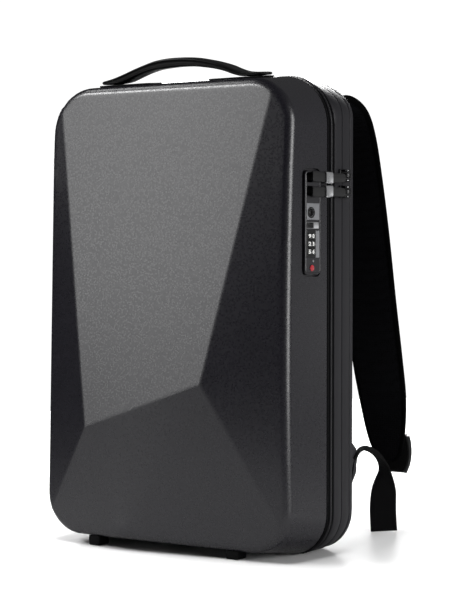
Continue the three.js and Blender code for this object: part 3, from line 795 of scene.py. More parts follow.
# %% [markdown]
# ### Zip teeth and stitches
# Hundreds of small things in a row. An array along a curve would space them, and bend each of them
# too. So one tooth and one stitch are modelled, and their copies stand at even steps along the seam.

# %% A row of stitches or zip teeth
# inset, depth, pitch
STITCH_ROW = (-0.5, 61.6, 3.4)
TOOTH_INSET, TOOTH_OFF, TOOTH_PITCH = 0.75, 0.75, 1.7
TOOTH_TILT = math.radians(24)
# length, width, height
TOOTH, STITCH = (1.1, 1.1, 0.25), (2.4, 0.7, 0.35)


def walk_seam(inset, depth, pitch):
    """Frames at even steps along the seam's outline: x along it, z out of the bag."""
    ring = seam_ring(inset, depth)
    ring.append(ring[0])
    lengths = [0.0]
    for a, b in zip(ring, ring[1:]):
        lengths.append(lengths[-1] + (b - a).length)
    frames = []
    for k in range(int(lengths[-1] / (pitch * MM))):
        at = k * pitch * MM
        i = max(j for j in range(len(lengths) - 1) if lengths[j] <= at)
        along = (ring[i + 1] - ring[i]).normalized()
        out = along.cross(Vector((0, 1, 0)))
        point = ring[i] + along * (at - lengths[i])
        turn = Matrix((along, out.cross(along), out)).transposed().to_quaternion()
        frames.append(Matrix.LocRotScale(point, turn, None))
    return frames


def stitch(length, width, height):
    """One stitch: a low block with rounded ends."""
    low, high = (-length / 2, -width / 2, -height), (length / 2, width / 2, height)
    return block("stitch", low, high, width / 3, segments=1)


teeth = []
for side in (-1, 1):
    tilt = Matrix.Rotation(side * TOOTH_TILT, 4, "Z")
    places = walk_seam(TOOTH_INSET, ZIP_DEPTH + side * TOOTH_OFF, TOOTH_PITCH)
    teeth += [place @ tilt for place in places]
seat(copies("zip_teeth", stitch(*TOOTH), teeth), binding, "zip_chain")
seat(copies("welt_stitches", stitch(*STITCH), walk_seam(*STITCH_ROW)), thread, "welt")

# %% [markdown]
# ## Feet
# Two rubber blocks hold the shell's front edge off the floor. Each is a bevelled block. A boolean could
# fit it to the slope of the shell's underside, but one bisecting plane leaves cleaner faces. The sole
# then gets a sunk tread.

# %% Feet
UNDERSIDE = Vector((0, DRAFT, SHELL_DEPTH)).normalized()
FOOT_ROUND, FOOT_SPARE = 1.4, 3
FOOT_EMBED = 0.2
TREAD_EDGE, TREAD_SINK = 2, 0.8
# A face looks straight one way if its normal has more than this along it
STRAIGHT = 0.99

for side in ("left", "right"):
    low, high = ([c / MM for c in corner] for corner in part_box(f"foot_{side}"))
    high[2] += FOOT_SPARE
    foot = block(f"rubber_foot_{side}", low, high, FOOT_ROUND)
    open_edit(foot)
    bpy.ops.mesh.select_all(action="SELECT")
    bpy.ops.mesh.bisect(plane_co=spot(0, 0, DRAFT - FOOT_EMBED), plane_no=UNDERSIDE, use_fill=True,
                        clear_outer=True)
    choose("FACE", lambda f: f.normal.z < -STRAIGHT)
    bpy.ops.mesh.inset(thickness=TREAD_EDGE * MM)
    bpy.ops.transform.translate(value=(0, 0, TREAD_SINK * MM))
    close_edit()
    seat(foot, foot_rubber, "rubber_foot", f"foot_{side}")

# %% [markdown]
# ## Carry handle
# A sprung grip that lies on two base plates when the bag stands. A bevelled curve would keep one
# section all along, but the grip goes from a thin tip to a thick, rounded middle. So it is extruded
# station by station, and the stations come from a short table, joined by smooth curves.

# %% Smooth tables and rounded sections


def smooth_rows(rows, steps):
    """Rows blended into many by curves that pass through each row."""
    table = np.array(rows, float)
    padded = np.concatenate([2 * table[:1] - table[1:2], table, 2 * table[-1:] - table[-2:-1]])
    made = []
    for k in range(steps + 1):
        at = k / steps * (len(table) - 1)
        i = min(int(at), len(table) - 2)
        t = at - i
        a, b, c, d = padded[i:i + 4]
        made.append(b + 0.5 * t * (c - a + t * (2 * a - 5 * b + 4 * c - d + t * (3 * (b - c) + d - a))))
    return made


def rounded_section(count, squareness):
    """Points round a section that reaches 1 each way, from an ellipse at 1 towards a box at 0."""
    angles = [2 * math.pi * k / count for k in range(count)]
    bend = [(math.cos(a), math.sin(a)) for a in angles]
    return [tuple(math.copysign(abs(c) ** squareness, c) for c in pair) for pair in bend]


# %% Handle
HANDLE_DEPTH = 30
TOP_SLOPE = math.atan2(SEAM_TOP_Z - TOP_EDGE_Z, SHELL_DEPTH)
TOP_WALL = Matrix.Translation(spot(0, HANDLE_DEPTH, top_level(HANDLE_DEPTH)))
TOP_WALL = TOP_WALL @ Matrix.Rotation(TOP_SLOPE, 4, "X")
# x, underside, upper side, width
ARCH = [(-97.5, 3.4, 5.6, 19), (-96, 2.4, 6.4, 21.5), (-90, 2.1, 7.5, 22.5), (-82, 2.2, 9.2, 23),
        (-70, 3.6, 12.6, 23), (-57, 7.6, 16.6, 23), (-44, 11.4, 20.2, 22.5), (-31, 13.9, 23.4, 22),
        (-18, 15, 24.9, 22), (-6, 15.5, 25.2, 22), (6, 15.4, 24.8, 22), (18.6, 14.8, 23.4, 22),
        (31, 13.2, 21, 22), (43, 11.2, 18.2, 22.5), (55, 8.2, 14.6, 23), (64.6, 4.8, 10.6, 23),
        (74, 2.4, 7.5, 23), (83.5, 2.1, 6.2, 23), (92, 2.1, 5.8, 22.5), (97.5, 2.3, 5.5, 21.5),
        (99, 2.8, 4.8, 19)]
ARCH_STEPS = 80
HANDLE_SECTION = rounded_section(24, 0.5)
SEAT_X, SEAT_HALF_WIDTH, SEAT_HEIGHT = (38, 99), 13, 1.9


def handle_ring(x, under, over, width):
    middle, half = (under + over) / 2, (over - under) / 2
    return [TOP_WALL @ (Vector((x, u * width / 2, middle + v * half)) * MM) for u, v in HANDLE_SECTION]


grip = sweep("handle_grip_arch", [handle_ring(*row) for row in smooth_rows(ARCH, ARCH_STEPS)])
seat(grip, grip_rubber, "handle_rubber", "handle_grip", degrees=50)
for side, word in ((-1, "left"), (1, "right")):
    near, far = sorted(side * x for x in SEAT_X)
    low, high = (near, -SEAT_HALF_WIDTH, 0), (far, SEAT_HALF_WIDTH, SEAT_HEIGHT)
    base = block(f"handle_seat_{word}", low, high, round_by=1, place=TOP_WALL)
    seat(base, foot_rubber, "black_plastic", f"handle_base_{word}")

# %% [markdown]
# ## Lock
# A grey case, let into the side wall with a dark gap round it, holds a key plug, a slide and three
# number wheels. Its pale plates are silver paint, and the wheels' frame is black on one side. The
# parts are modelled in the lock's own frame, x out of the wall, and `LOCK` then places them. Pockets
# could be inset face by face. Booleans were chosen, because a cutter shares its sizes with its inlay.

# %% Lock case
# width, height, y, z
INLAYS = {"key": (18.6, 16, -0.4, 10.6), "slide": (18.6, 6.4, -0.4, -2.6), "dials": (18.6, 26, -0.4, -20.5)}
INLAY_PLAY = 0.4
PULL_HEIGHTS = {"upper": 43, "lower": 30.4}
PULL_SLOT = (8.4, 9.4, -5)
DIALS_WELL, KEY_WELL, KEY_WELL_ROUND = (14, 23.4, -2.8, -20.5), (7.6, 7.6, -3.5, 9.6), 3.5
POCKET, WELL_FLOOR = 1, -4
LOCK_PROUD, LIP_ROUND, LIP_STEPS = 2.4, 1.7, 4
FACE_EDGE, FACE_SINK = 0.6, 0.4
FLANGE_BACK, FLANGE_FRONT = -SHELL_WALL - 2, -SHELL_WALL - 0.2
LOCK_BACK = (-12, -10.5, -45), (-8.6, 10.5, 45)


def sunk(name, width, height, y, z, floor, top=6.0, round_by=0.8):
    """A cutter for a pocket or a block for its inlay, in the lock's frame."""
    low, high = (floor, y - width / 2, z - height / 2), (top, y + width / 2, z + height / 2)
    return block(name, low, high, round_by, place=LOCK)


def cut(piece, cutters):
    """Takes the cutters' shapes out of a piece."""
    for cutter in cutters:
        apply_modifier(piece, "BOOLEAN", object=cutter, operation="DIFFERENCE", solver="EXACT")
        bpy.data.objects.remove(cutter)


case = round_plate("lock_face", -SHELL_WALL, LOCK_PROUD, 0)
open_edit(case)
choose("EDGE", lambda e: all(v.co.x > 0 for v in e.verts))
bpy.ops.mesh.bevel(offset=LIP_ROUND * MM, segments=LIP_STEPS, affect="EDGES")
choose("FACE", lambda f: f.normal.x > STRAIGHT)
bpy.ops.mesh.inset(thickness=FACE_EDGE * MM)
bpy.ops.transform.translate(value=(-FACE_SINK * MM, 0, 0))
close_edit()
flange = round_plate("flange", FLANGE_BACK, FLANGE_FRONT, 2 * LOCK_GAP)
case = join([case, flange])
case.matrix_world = LOCK
settle()
pockets = [sunk("pocket", w + INLAY_PLAY, h + INLAY_PLAY, y, z, POCKET) for w, h, y, z in INLAYS.values()]
pockets += [sunk("pocket", *PULL_SLOT, z, WELL_FLOOR) for z in PULL_HEIGHTS.values()]
pockets.append(sunk("pocket", *DIALS_WELL, WELL_FLOOR))
pockets.append(sunk("pocket", *KEY_WELL, WELL_FLOOR, round_by=KEY_WELL_ROUND))
cut(case, pockets)
back = block("lock_back", *LOCK_BACK, round_by=1, place=LOCK)
seat(join([case, back]), lock_abs, "lock_body", "lock_case", degrees=30)

# %% Key plate and cylinder
KEY = (-3.5, 9.6)
KEY_BORE, BORE_LENGTH = 3.7, 20
KEYWAY, KEYWAY_FLOOR = (1, 4.2), 0.5
PLATE_TOP = LOCK_PROUD + 0.2
ROUND = rounded_section(32, 1)
# x, radius
COLLAR = [(1.4, 5.4), (2.8, 5.4), (3.1, 5.1), (3.1, 3.9), (1.4, 3.9)]
PLUG = [(-4, 3.4), (2.7, 3.4), (3.1, 3.1), (3.3, 2.6), (2.9, 2.2)]


def turned(name, profile, y, z, solid=True):
    """A turned piece or ring about an axis out of the wall: profile rows are x and radius."""
    rings = [[LOCK @ (Vector((x, y + r * u, z + r * v)) * MM) for u, v in ROUND] for x, r in profile]
    return sweep(name, rings, capped=solid, closed=not solid)


width, height, y, z = INLAYS["key"]
plate = sunk("key_face", width, height, y, z, POCKET, PLATE_TOP, round_by=0.5)
clear_selection()
bpy.ops.mesh.primitive_cylinder_add(vertices=len(ROUND), radius=KEY_BORE * MM, depth=BORE_LENGTH * MM)
bore = named("bore")
bore.matrix_world = LOCK @ Matrix.Translation(Vector((0, *KEY)) * MM) @ Matrix.Rotation(math.pi / 2, 4, "Y")
settle()
cut(plate, [bore])
collar = turned("key_collar", COLLAR, *KEY, solid=False)
collar.data.materials.append(acetal)
plate.data.materials.append(silver_paint)
seat(join([plate, collar]), silver_paint, "satin_metal", "key_plate", degrees=30)
plug = turned("key_plug", PLUG, *KEY)
cut(plug, [sunk("keyway", *KEYWAY, *KEY, KEYWAY_FLOOR, round_by=0.2)])
seat(plug, painted_zinc, "zip_metal", "key_cylinder", body="key_cylinder", degrees=30)

# %% Slide, number wheels and their frame
DIAL_RADIUS, DIAL_X, DIAL_Y, DIAL_PITCH = 6.4, -1.6, -2.8, 7.45
DIAL_WIDTH = 5.8
DIAL_SLOT = (12.4, DIAL_WIDTH + 0.6)
DIAL_EDGE = 3.2
# How many numbers a wheel has, how finely they are drawn, and how far on each next wheel stands
DIGITS, DIGIT_STEPS, DIAL_SHIFT = 10, 3, 3
DIGIT_SIZE, DIGIT_BOLD, DIGIT_THICK, DIGIT_SINK = 5.2, 0.24, 0.06, 0.02
GROOVE, RIM_STEPS, GROOVE_STEPS = 0.55, 6, (2, 3)
# share of half the wheel's width, and how far the rim is drawn in there
WHEEL_RIM = ((-1, 0.7), (-0.8, 0), (0.8, 0), (1, 0.7))
TRACK_THICK = 0.8
SLIDE, SLIDE_Y, SLIDE_PROUD = (9.4, 5.4), -4.6, 0.6
RIB, RIB_PITCH, RIB_HEIGHT = (0.7, 4), 1.6, 1
# x, radius
INDEX_DOT, INDEX_PLACE = [(1.6, 1.1), (2.3, 1.1), (2.6, 0.8), (2.7, 0.3)], (0, -36.7)
RED_DOT, RED_PLACE = [(1.6, 3), (2.5, 3), (2.8, 2.7), (2.9, 1.5)], (-1.8, -43.4)

width, height, y, z = INLAYS["slide"]
track = sunk("slide_bed", width, height, y, z, POCKET, POCKET + TRACK_THICK, round_by=0.3)
seat(track, nickel, "satin_metal", "slide_track")
# The plated pieces, which would blow out under the lamp at the side
PLATED = [track]
button = sunk("slide_button", *SLIDE, SLIDE_Y, z, POCKET + 1, LOCK_PROUD + SLIDE_PROUD, round_by=0.6)
ribs = [sunk("rib", *RIB, SLIDE_Y + k * RIB_PITCH, z, LOCK_PROUD, LOCK_PROUD + RIB_HEIGHT, round_by=0.2)
        for k in range(-2, 3)]
seat(join([button, *ribs]), acetal, "black_plastic", "lock_slide", body="lock_slide")

width, height, y, z = INLAYS["dials"]
dial_heights = [z + k * DIAL_PITCH for k in (1, 0, -1)]
dial_frame = sunk("dial_frame", width, height, y, z, POCKET, PLATE_TOP, round_by=0.5)
cut(dial_frame, [sunk("slot", *DIAL_SLOT, DIAL_Y, at, WELL_FLOOR, round_by=0.3) for at in dial_heights])
open_edit(dial_frame)
bpy.ops.mesh.select_all(action="SELECT")
bpy.ops.mesh.bisect(plane_co=LOCK @ Vector((0, DIAL_EDGE * MM, 0)), plane_no=LOCK.col[1][:3])
close_edit()
for finish in (silver_paint, acetal):
    dial_frame.data.materials.append(finish)
for face in dial_frame.data.polygons:
    face.material_index = 1 if (LOCK.inverted() @ face.center).y < DIAL_EDGE * MM else 0
seat(dial_frame, silver_paint, "satin_metal", "dial_plate", degrees=30)


def digit(number, turn, at):
    """A printed number on a wheel's rim, a tenth of a turn from the next."""
    clear_selection()
    bpy.ops.object.text_add()
    text = bpy.context.object
    text.data.body = str(number)
    text.data.align_x, text.data.align_y = "CENTER", "CENTER"
    text.data.size, text.data.extrude, text.data.offset = DIGIT_SIZE * MM, DIGIT_THICK * MM, DIGIT_BOLD * MM
    text.data.resolution_u = DIGIT_STEPS
    bpy.ops.object.convert(target="MESH")
    stand = Matrix(((0, 0, 1, (DIAL_RADIUS - DIGIT_SINK) * MM), (1, 0, 0, 0), (0, 1, 0, 0), (0, 0, 0, 1)))
    centre = Matrix.Translation(Vector((DIAL_X, DIAL_Y, at)) * MM)
    made = named("digit")
    made.matrix_world = LOCK @ centre @ Matrix.Rotation(turn, 4, "Z") @ stand
    settle()
    made.data.materials.clear()
    made.data.materials.append(white_ink)
    return made


def wheel(name, at):
    """Ten flats with a groove between each two, so that a finger can turn it."""
    count = DIGITS * RIM_STEPS
    rings = []
    for rise, shrink in WHEEL_RIM:
        ring = []
        for k in range(count):
            angle = 2 * math.pi * (k + 0.5) / count
            groove = GROOVE if k % RIM_STEPS in GROOVE_STEPS else 0
            reach = DIAL_RADIUS - shrink - groove
            place = Vector((DIAL_X + reach * math.cos(angle), DIAL_Y + reach * math.sin(angle),
                            at + rise * DIAL_WIDTH / 2))
            ring.append(LOCK @ (place * MM))
        rings.append(ring)
    return sweep(name, rings)


for k, at in enumerate(dial_heights):
    dial = wheel(f"number_wheel_{k + 1}", at)
    dial.data.materials.append(acetal)
    digits = [digit((n + DIAL_SHIFT * k) % DIGITS, 2 * math.pi * n / DIGITS, at) for n in range(DIGITS)]
    seat(join([dial, *digits]), acetal, "black_plastic", f"dial_{k + 1}", body=f"dial_{k + 1}", degrees=30)

dot = turned("index_dot", INDEX_DOT, *INDEX_PLACE)
seat(dot, nickel, "satin_metal", "lock_index_dot")
PLATED.append(dot)
red = turned("red_dot", RED_DOT, *RED_PLACE)
seat(red, red_plastic, "red_plastic", "lock_red_dot")

# %% [markdown]
# ## Zip pulls and sliders
# Both pulls are docked in the lock by a leg at their end, and lean towards each other from there. Each
# is a flat tapered bar with a metal cuff. A scaled block could be bent to that form, but a sweep
# through a table of heights gives bar and cuff the same lean. The sliders ride on the zip, with a
# bridge that the pull hooks into and two rivets.

# %% Pulls
PULL_X = (3.4, 6)
# y, height
PULL = [(-4.8, 6.4), (-4.4, 8.6), (-3.4, 9.8), (0, 10.1), (12, 9.8), (24, 9.4), (36, 9.2), (41, 8.8),
        (43.4, 7.4), (44.6, 5)]
PULL_SPREAD, PULL_LEAN = 1.1, 0.045
PULL_SECTION = rounded_section(16, 0.4)
LEG_X, LEG_Y, LEG_HALF_HEIGHT = (-1.8, 5), (-4.4, -1.2), 2.2
CUFF_Y, CUFF_HALF_HEIGHT = (14.2, 24.4), 4.6
CUFF_INSIDE, CUFF_OUTSIDE, CUFF_ROUND = 0.4, 1.1, 0.25
PULLS_MIDDLE = sum(PULL_HEIGHTS.values()) / 2


def pull_ring(y, half_thick, half_height, z):
    """A ring round a pull. The two lean towards each other, from the lock to the zip."""
    middle = sum(PULL_X) / 2
    z += math.copysign(PULL_SPREAD - PULL_LEAN * y, z - PULLS_MIDDLE)
    return [LOCK @ (Vector((middle + u * half_thick, y, z + v * half_height)) * MM) for u, v in PULL_SECTION]


for word, z in PULL_HEIGHTS.items():
    half = (PULL_X[1] - PULL_X[0]) / 2
    bar = sweep(f"pull_bar_{word}", [pull_ring(y, half, height / 2, z) for y, height in PULL])
    low, high = (LEG_X[0], LEG_Y[0], z - LEG_HALF_HEIGHT), (LEG_X[1], LEG_Y[1], z + LEG_HALF_HEIGHT)
    leg = block("pull_leg", low, high, round_by=0.6, place=LOCK)
    seat(join([bar, leg]), acetal, "black_plastic", f"zip_pull_{word}")
    walls = [(CUFF_Y[0], CUFF_INSIDE), (CUFF_Y[0], CUFF_OUTSIDE), (CUFF_Y[1], CUFF_OUTSIDE),
             (CUFF_Y[1], CUFF_INSIDE)]
    rings = [pull_ring(y, half + grow, CUFF_HALF_HEIGHT + grow, z) for y, grow in walls]
    cuff = sweep(f"pull_cuff_{word}", rings, capped=False, closed=True)
    apply_modifier(cuff, "BEVEL", width=CUFF_ROUND * MM, segments=2, limit_method="ANGLE")
    seat(cuff, nickel, "satin_metal", f"zip_pull_{word}_band")
    PLATED.append(cuff)

# %% Sliders
SLIDER_HEIGHTS = {"upper": 372.5, "lower": 356.5}
SLIDER_X = SEAM_HALF_WIDTH + 0.3
# low corner, high corner, rounding
SLIDER_PLATE = (0, -7.5, -6), (2.2, 9.5, 6), 1
CHEEK = (1.6, -5, -1), (6.6, 7, 1), 0.9
RIVET = (5.6, -1.2, -0.9), (7.2, 0.6, 0.9), 0.8
# Cheeks and rivets stand this far above and below the middle
CHEEK_OFF = 4.6
BRIDGE_STEPS = 12
BRIDGE_X, BRIDGE_DEPTH = 2, 0.6
BRIDGE_RISE, BRIDGE_REACH = 6.6, 5.6
BRIDGE_HALF_THICK, BRIDGE_HALF_WIDTH = 0.9, 2.4


def slider_block(name, low, high, round_by, z):
    """A block of a slider, from corners measured at the zip's middle."""
    return block(name, low, high, round_by, place=Matrix.Translation(spot(SLIDER_X, ZIP_DEPTH, z)))


def slider_pair(name, low, high, round_by, z):
    """Two such blocks, above and below the slider's middle."""
    made = []
    for off in (-CHEEK_OFF, CHEEK_OFF):
        ends = (*low[:2], off + low[2]), (*high[:2], off + high[2])
        made.append(slider_block(name, *ends, round_by, z))
    return made


for word, z in SLIDER_HEIGHTS.items():
    plate = slider_block("slider_plate", *SLIDER_PLATE, z)
    cheeks = slider_pair("cheek", *CHEEK, z)
    bridge_rings = []
    for k in range(BRIDGE_STEPS + 1):
        angle = math.pi * k / BRIDGE_STEPS
        centre = spot(SLIDER_X + BRIDGE_X + BRIDGE_RISE * math.sin(angle),
                      ZIP_DEPTH + BRIDGE_DEPTH - BRIDGE_REACH * math.cos(angle), z)
        out = Vector((math.sin(angle), -math.cos(angle), 0))
        ring = []
        for u, v in PULL_SECTION:
            off = out * (BRIDGE_HALF_THICK * u) + Vector((0, 0, BRIDGE_HALF_WIDTH * v))
            ring.append(centre + off * MM)
        bridge_rings.append(ring)
    bridge = sweep("bridge", bridge_rings)
    rivets = slider_pair("rivet", *RIVET, z)
    for part in (plate, *cheeks, bridge):
        part.data.materials.append(painted_zinc)
    for rivet in rivets:
        rivet.data.materials.append(nickel)
    slider = join([plate, *cheeks, bridge, *rivets])
    slider.name = f"slider_{word}"
    seat(slider, painted_zinc, "zip_metal", f"zip_slider_{word}")

# %% [markdown]
# ## Back panel
# The back is a board with a padded cushion sewn on. The cushion starts thin. Cloth simulation then
# blows it up against its seams, which are pinned, and gives the soft quilted form that a modeller
# would find hard to push by hand.

# %% Board and padding
PRESSURE, LAST_FRAME = 4, 20


def pad_out(piece, sewn, cap, voxel=5):
    """Remeshes a pad, pins the vertices that sewn accepts, and lets pressure fill it up to a cap."""
    apply_modifier(piece, "REMESH", mode="VOXEL", voxel_size=voxel * MM)
    rest = [v.co.copy() for v in piece.data.vertices]
    group = piece.vertex_groups.new(name="sewn")
    group.add([k for k, place in enumerate(rest) if sewn(place)], 1, "REPLACE")
    cloth = piece.modifiers.new("Cloth", "CLOTH")
    cloth.settings.vertex_group_mass = "sewn"
    cloth.settings.use_pressure = True
    cloth.settings.uniform_pressure_force = PRESSURE
    cloth.settings.effector_weights.gravity = 0
    for number in range(1, LAST_FRAME + 1):
        bpy.context.scene.frame_set(number)
    pick(piece)
    bpy.ops.object.modifier_apply(modifier="Cloth")
    bpy.context.scene.frame_set(1)
    furthest = 0
    for vertex, start in zip(piece.data.vertices, rest):
        move = vertex.co - start
        furthest = max(furthest, move.length)
        if move.length > cap * MM:
            vertex.co = start + move.normalized() * cap * MM
    print(piece.name, "swelled by", round(furthest / MM, 1), "mm, held to", cap)
    piece.vertex_groups.clear()
    apply_modifier(piece, "SUBSURF", levels=1, render_levels=1)


# inset, depth
BOARD = [(8, 97.2), (0.9, 97.3), (0.2, 98), (0.1, 101.6), (0.7, 102.9), (2.2, 103.7), (4.4, 103.6),
         (6.4, 102.6), (8, 102), (30, 102)]
CUSHION = [(33, 101.8), (30, 102.4), (30, 104), (32, 105.4), (37, 106.2)]
CUSHION_BASE, CUSHION_SWELL = 104, 4
BACK_SEAMS_Z = (110, 234, 358)
SEAM_GAP = 3.5

board = sweep("back_board", [seam_ring(*row) for row in BOARD])
seat(board, gusset_cloth, "padded_mesh")
cushion = sweep("back_cushion", [seam_ring(*row) for row in CUSHION])


def back_sewn(place):
    """The cushion's base, its upright middle seam and its level seams."""
    x, depth, z = place.x / MM, place.y / MM - RIM_Y, place.z / MM
    level = any(abs(z - at) < SEAM_GAP for at in BACK_SEAMS_Z)
    return depth < CUSHION_BASE or abs(x) < SEAM_GAP or level


pad_out(cushion, back_sewn, CUSHION_SWELL)
# The padded pieces, which some lamps are kept off
PADS = [cushion]
seat(cushion, pad_mesh, "padded_mesh", "back_panel", degrees=60)

# %% [markdown]
# ## Shoulder straps
# Each strap is foam between two cloths with its edges sewn into a tape. A plain sweep along its path
# would look like a board, so that is only the start: the same simulation fills it, with its edges
# pinned, and then it gets its tape.

# %% Strap paths
# x, depth, z, width, thickness
SHOULDER = [(110, 102.5, 449.5, 56, 8), (110, 119, 451.6, 58, 9), (110, 138, 446.8, 60, 10),
            (110.8, 154, 436, 60, 10), (111.2, 166, 415, 60, 10), (111.4, 177, 381, 60, 10),
            (111.4, 193, 320, 60, 10), (111.4, 208.5, 248, 60, 10), (111.8, 223, 184, 59.5, 10),
            (114, 231, 142, 55.5, 9), (118, 232, 105, 45, 8), (121.5, 231, 86, 33, 7),
            (122.4, 230.2, 78, 22, 6), (122.6, 229.8, 74.5, 12, 5)]
# x, depth, z, width, turn, bank
WEB = [(147.6, 114.5, 89, 12, 0, 80), (148, 119, 95, 8, 0, 60), (146.4, 128, 98, 6.4, 0, 40),
       (142, 141, 98.2, 6, 0, 20), (137.9, 155, 96.8, 6, 0, 0), (133.9, 172, 93.2, 6, 0, 0),
       (129.6, 190, 87.4, 6.4, 0, 0), (125.8, 206, 79.6, 8, 5, 0), (122.8, 218, 71, 11, 10, 0),
       (121, 223.5, 63, 15, 15, 0), (119.6, 225.4, 54, 21.5, 20, 0), (118.8, 225.4, 43, 26.5, 24, 0),
       (118.4, 224.5, 24, 28, 28, 0), (120, 224, 1, 28, 30, 0)]
# x, depth, z
BUCKLE = [(125, 238, 103), (125, 242, 95), (125, 243.6, 84), (125, 240.6, 73), (125, 233.5, 64.5)]


def strap_frames(rows, steps, side):
    """Centre, along, across and out of a strap at each step of its path, with its row of the table."""
    table = smooth_rows(rows, steps)
    centres = [spot(side * row[0], row[1], row[2]) for row in table]
    frames = []
    for k, row in enumerate(table):
        along = (centres[min(k + 1, steps)] - centres[max(k - 1, 0)]).normalized()
        turn, bank = (side * math.radians(v) for v in (row[4:6] if len(row) == 6 else (0, 0)))
        across = Vector((math.cos(turn), math.sin(turn), 0))
        across = (across - along * across.dot(along)).normalized()
        across.rotate(Matrix.Rotation(-bank, 3, along))
        frames.append((centres[k], along, across, along.cross(across), row))
    return frames


def strap_rings(frames, section, half_width, half_thick):
    """Rings of a section along a strap. Half sizes are functions of the row, in millimetres."""
    rings = []
    for centre, _, across, out, row in frames:
        w, h = half_width(row) * MM, half_thick(row) * MM
        rings.append([centre + across * (u * w) + out * (v * h) for u, v in section])
    return rings


# %% Padded straps with taped edges
STRAP_STEPS = 72
EDGE_TAPE, SEWN_STEPS = 5, 3
STRAP_SWELL, STRAP_VOXEL = 2.6, 4
# How much slimmer the pad starts than it ends, on each side
SLIM_WIDTH, SLIM_THICK = 1, 1.2
TAPE_INSET, TAPE_HALF_WIDTH, TAPE_SHARE = 2.2, 2.6, 0.33
STRAP_SECTION = rounded_section(28, 0.3)
BEAD = rounded_section(12, 0.8)


def strap_pad(word, side):
    frames = strap_frames(SHOULDER, STRAP_STEPS, side)
    rings = strap_rings(frames, STRAP_SECTION, lambda row: row[3] / 2 - SLIM_WIDTH,
                        lambda row: row[4] / 2 - SLIM_THICK)
    pad = sweep(f"shoulder_pad_{word}", rings)
    centres = np.array([f[0] for f in frames])
    sides = np.array([f[2] for f in frames])
    widths = np.array([f[4][3] for f in frames]) / 2 * MM

    def sewn(place):
        away = np.array(place) - centres
        k = int(np.argmin((away ** 2).sum(1)))
        return abs(away[k] @ sides[k]) > widths[k] - EDGE_TAPE * MM or k < SEWN_STEPS

    pad_out(pad, sewn, STRAP_SWELL, voxel=STRAP_VOXEL)
    seat(pad, pad_mesh, "padded_mesh", f"shoulder_strap_{word}", degrees=60)
    beads = []
    for edge in (-1, 1):
        rings = []
        for centre, _, across, out, row in frames:
            middle = centre + across * (edge * (row[3] / 2 - TAPE_INSET) * MM)
            rings.append([middle + (across * (TAPE_HALF_WIDTH * u) + out * (v * row[4] * TAPE_SHARE)) * MM
                          for u, v in BEAD])
        beads.append(sweep("edge_tape", rings))
    tape = join(beads)
    tape.name = f"strap_tape_{word}"
    seat(tape, binding, "padded_mesh", degrees=60)
    PADS.extend((pad, tape))


for word, side in (("right", 1), ("left", -1)):
    strap_pad(word, side)

# %% [markdown]
# ### Webbing, buckles and wing tabs
# These join a strap's lower end to the bag. The webbing is rolled up narrow where it hangs between the
# tab and the buckle, and opens flat towards its hemmed tail. The remesh of a simulation would erase a
# band this thin, so it is swept through a table of places, widths and turns.

# %% Webbing, buckles and wing tabs
WEB_STEPS = 110
WEB_WIDTH, WEB_THICK = 28, 1.7
WEB_SECTION = rounded_section(16, 0.25)
ROLL = 0.7
HEM_STEPS, HEM_INSET = 13, 0.2
THREADED = 2.2
BUCKLE_STEPS = 24
RAIL_OFF, RAIL_HALF_WIDTH, RAIL_HALF_THICK = 14.4, 2.8, 2.2
BAR_STEPS, BAR_PLACES = (1, 9, 15, 23), (-14, -7, 0, 7, 14)
BAR_HALF_WIDTH, BAR_HALF_THICK = 2.6, 2
# depth, z
WING = [(101, 58), (106, 63), (116.4, 77), (117, 80), (117, 98), (116.4, 101), (108, 108), (101, 113)]
WING_X, WING_ROUND = (145.6, 149.2), 0.9


def folded(row):
    """Half the thickness of the webbing, which is rolled up where it is narrow."""
    return WEB_THICK / 2 * (WEB_WIDTH / row[3]) ** ROLL


def moved_out(rings, frames, by):
    """Rings along a strap, moved off its face."""
    return [[point + f[3] * (by * MM) for point in ring] for ring, f in zip(rings, frames)]


for word, side in (("right", 1), ("left", -1)):
    frames = strap_frames(WEB, WEB_STEPS, side)
    web = sweep(f"strap_webbing_{word}", strap_rings(frames, WEB_SECTION, lambda row: row[3] / 2, folded))
    tail = frames[-HEM_STEPS:]
    hem = strap_rings(tail, WEB_SECTION, lambda row: row[3] / 2 - HEM_INSET, lambda row: WEB_THICK / 2)
    hem = moved_out(hem, tail, -WEB_THICK)
    buckle_frames = strap_frames([(*row, WEB_WIDTH, WEB_THICK) for row in BUCKLE], BUCKLE_STEPS, side)
    threaded = strap_rings(buckle_frames, WEB_SECTION, lambda row: row[3] / 2, lambda row: row[4] / 2)
    threaded = moved_out(threaded, buckle_frames, THREADED)
    parts = [web, sweep("hem", hem), sweep("threaded", threaded)]
    seat(join(parts), webbing, "webbing", f"strap_web_{word}", degrees=50)
    parts = []
    for edge in (-1, 1):
        rails = []
        for c, _, a, o, _ in buckle_frames:
            rails.append([c + (a * (edge * RAIL_OFF + RAIL_HALF_WIDTH * u) + o * (RAIL_HALF_THICK * v)) * MM
                          for u, v in BEAD])
        parts.append(sweep("rail", rails))
    for k in BAR_STEPS:
        c, along, a, o, _ = buckle_frames[k]
        bars = []
        for at in BAR_PLACES:
            bars.append([c + (a * at + along * (BAR_HALF_WIDTH * u) + o * (BAR_HALF_THICK * v)) * MM
                         for u, v in BEAD])
        parts.append(sweep("bar", bars))
    buckle = join(parts)
    buckle.name = f"ladder_buckle_{word}"
    seat(buckle, acetal, "black_plastic", f"strap_buckle_{word}", degrees=60)
    wing = sweep(f"wing_{word}", [[spot(side * x, y, z) for y, z in WING] for x in WING_X])
    apply_modifier(wing, "BEVEL", width=WING_ROUND * MM, segments=2, limit_method="ANGLE")
    seat(wing, gusset_cloth, "gusset_cloth", f"wing_tab_{word}")

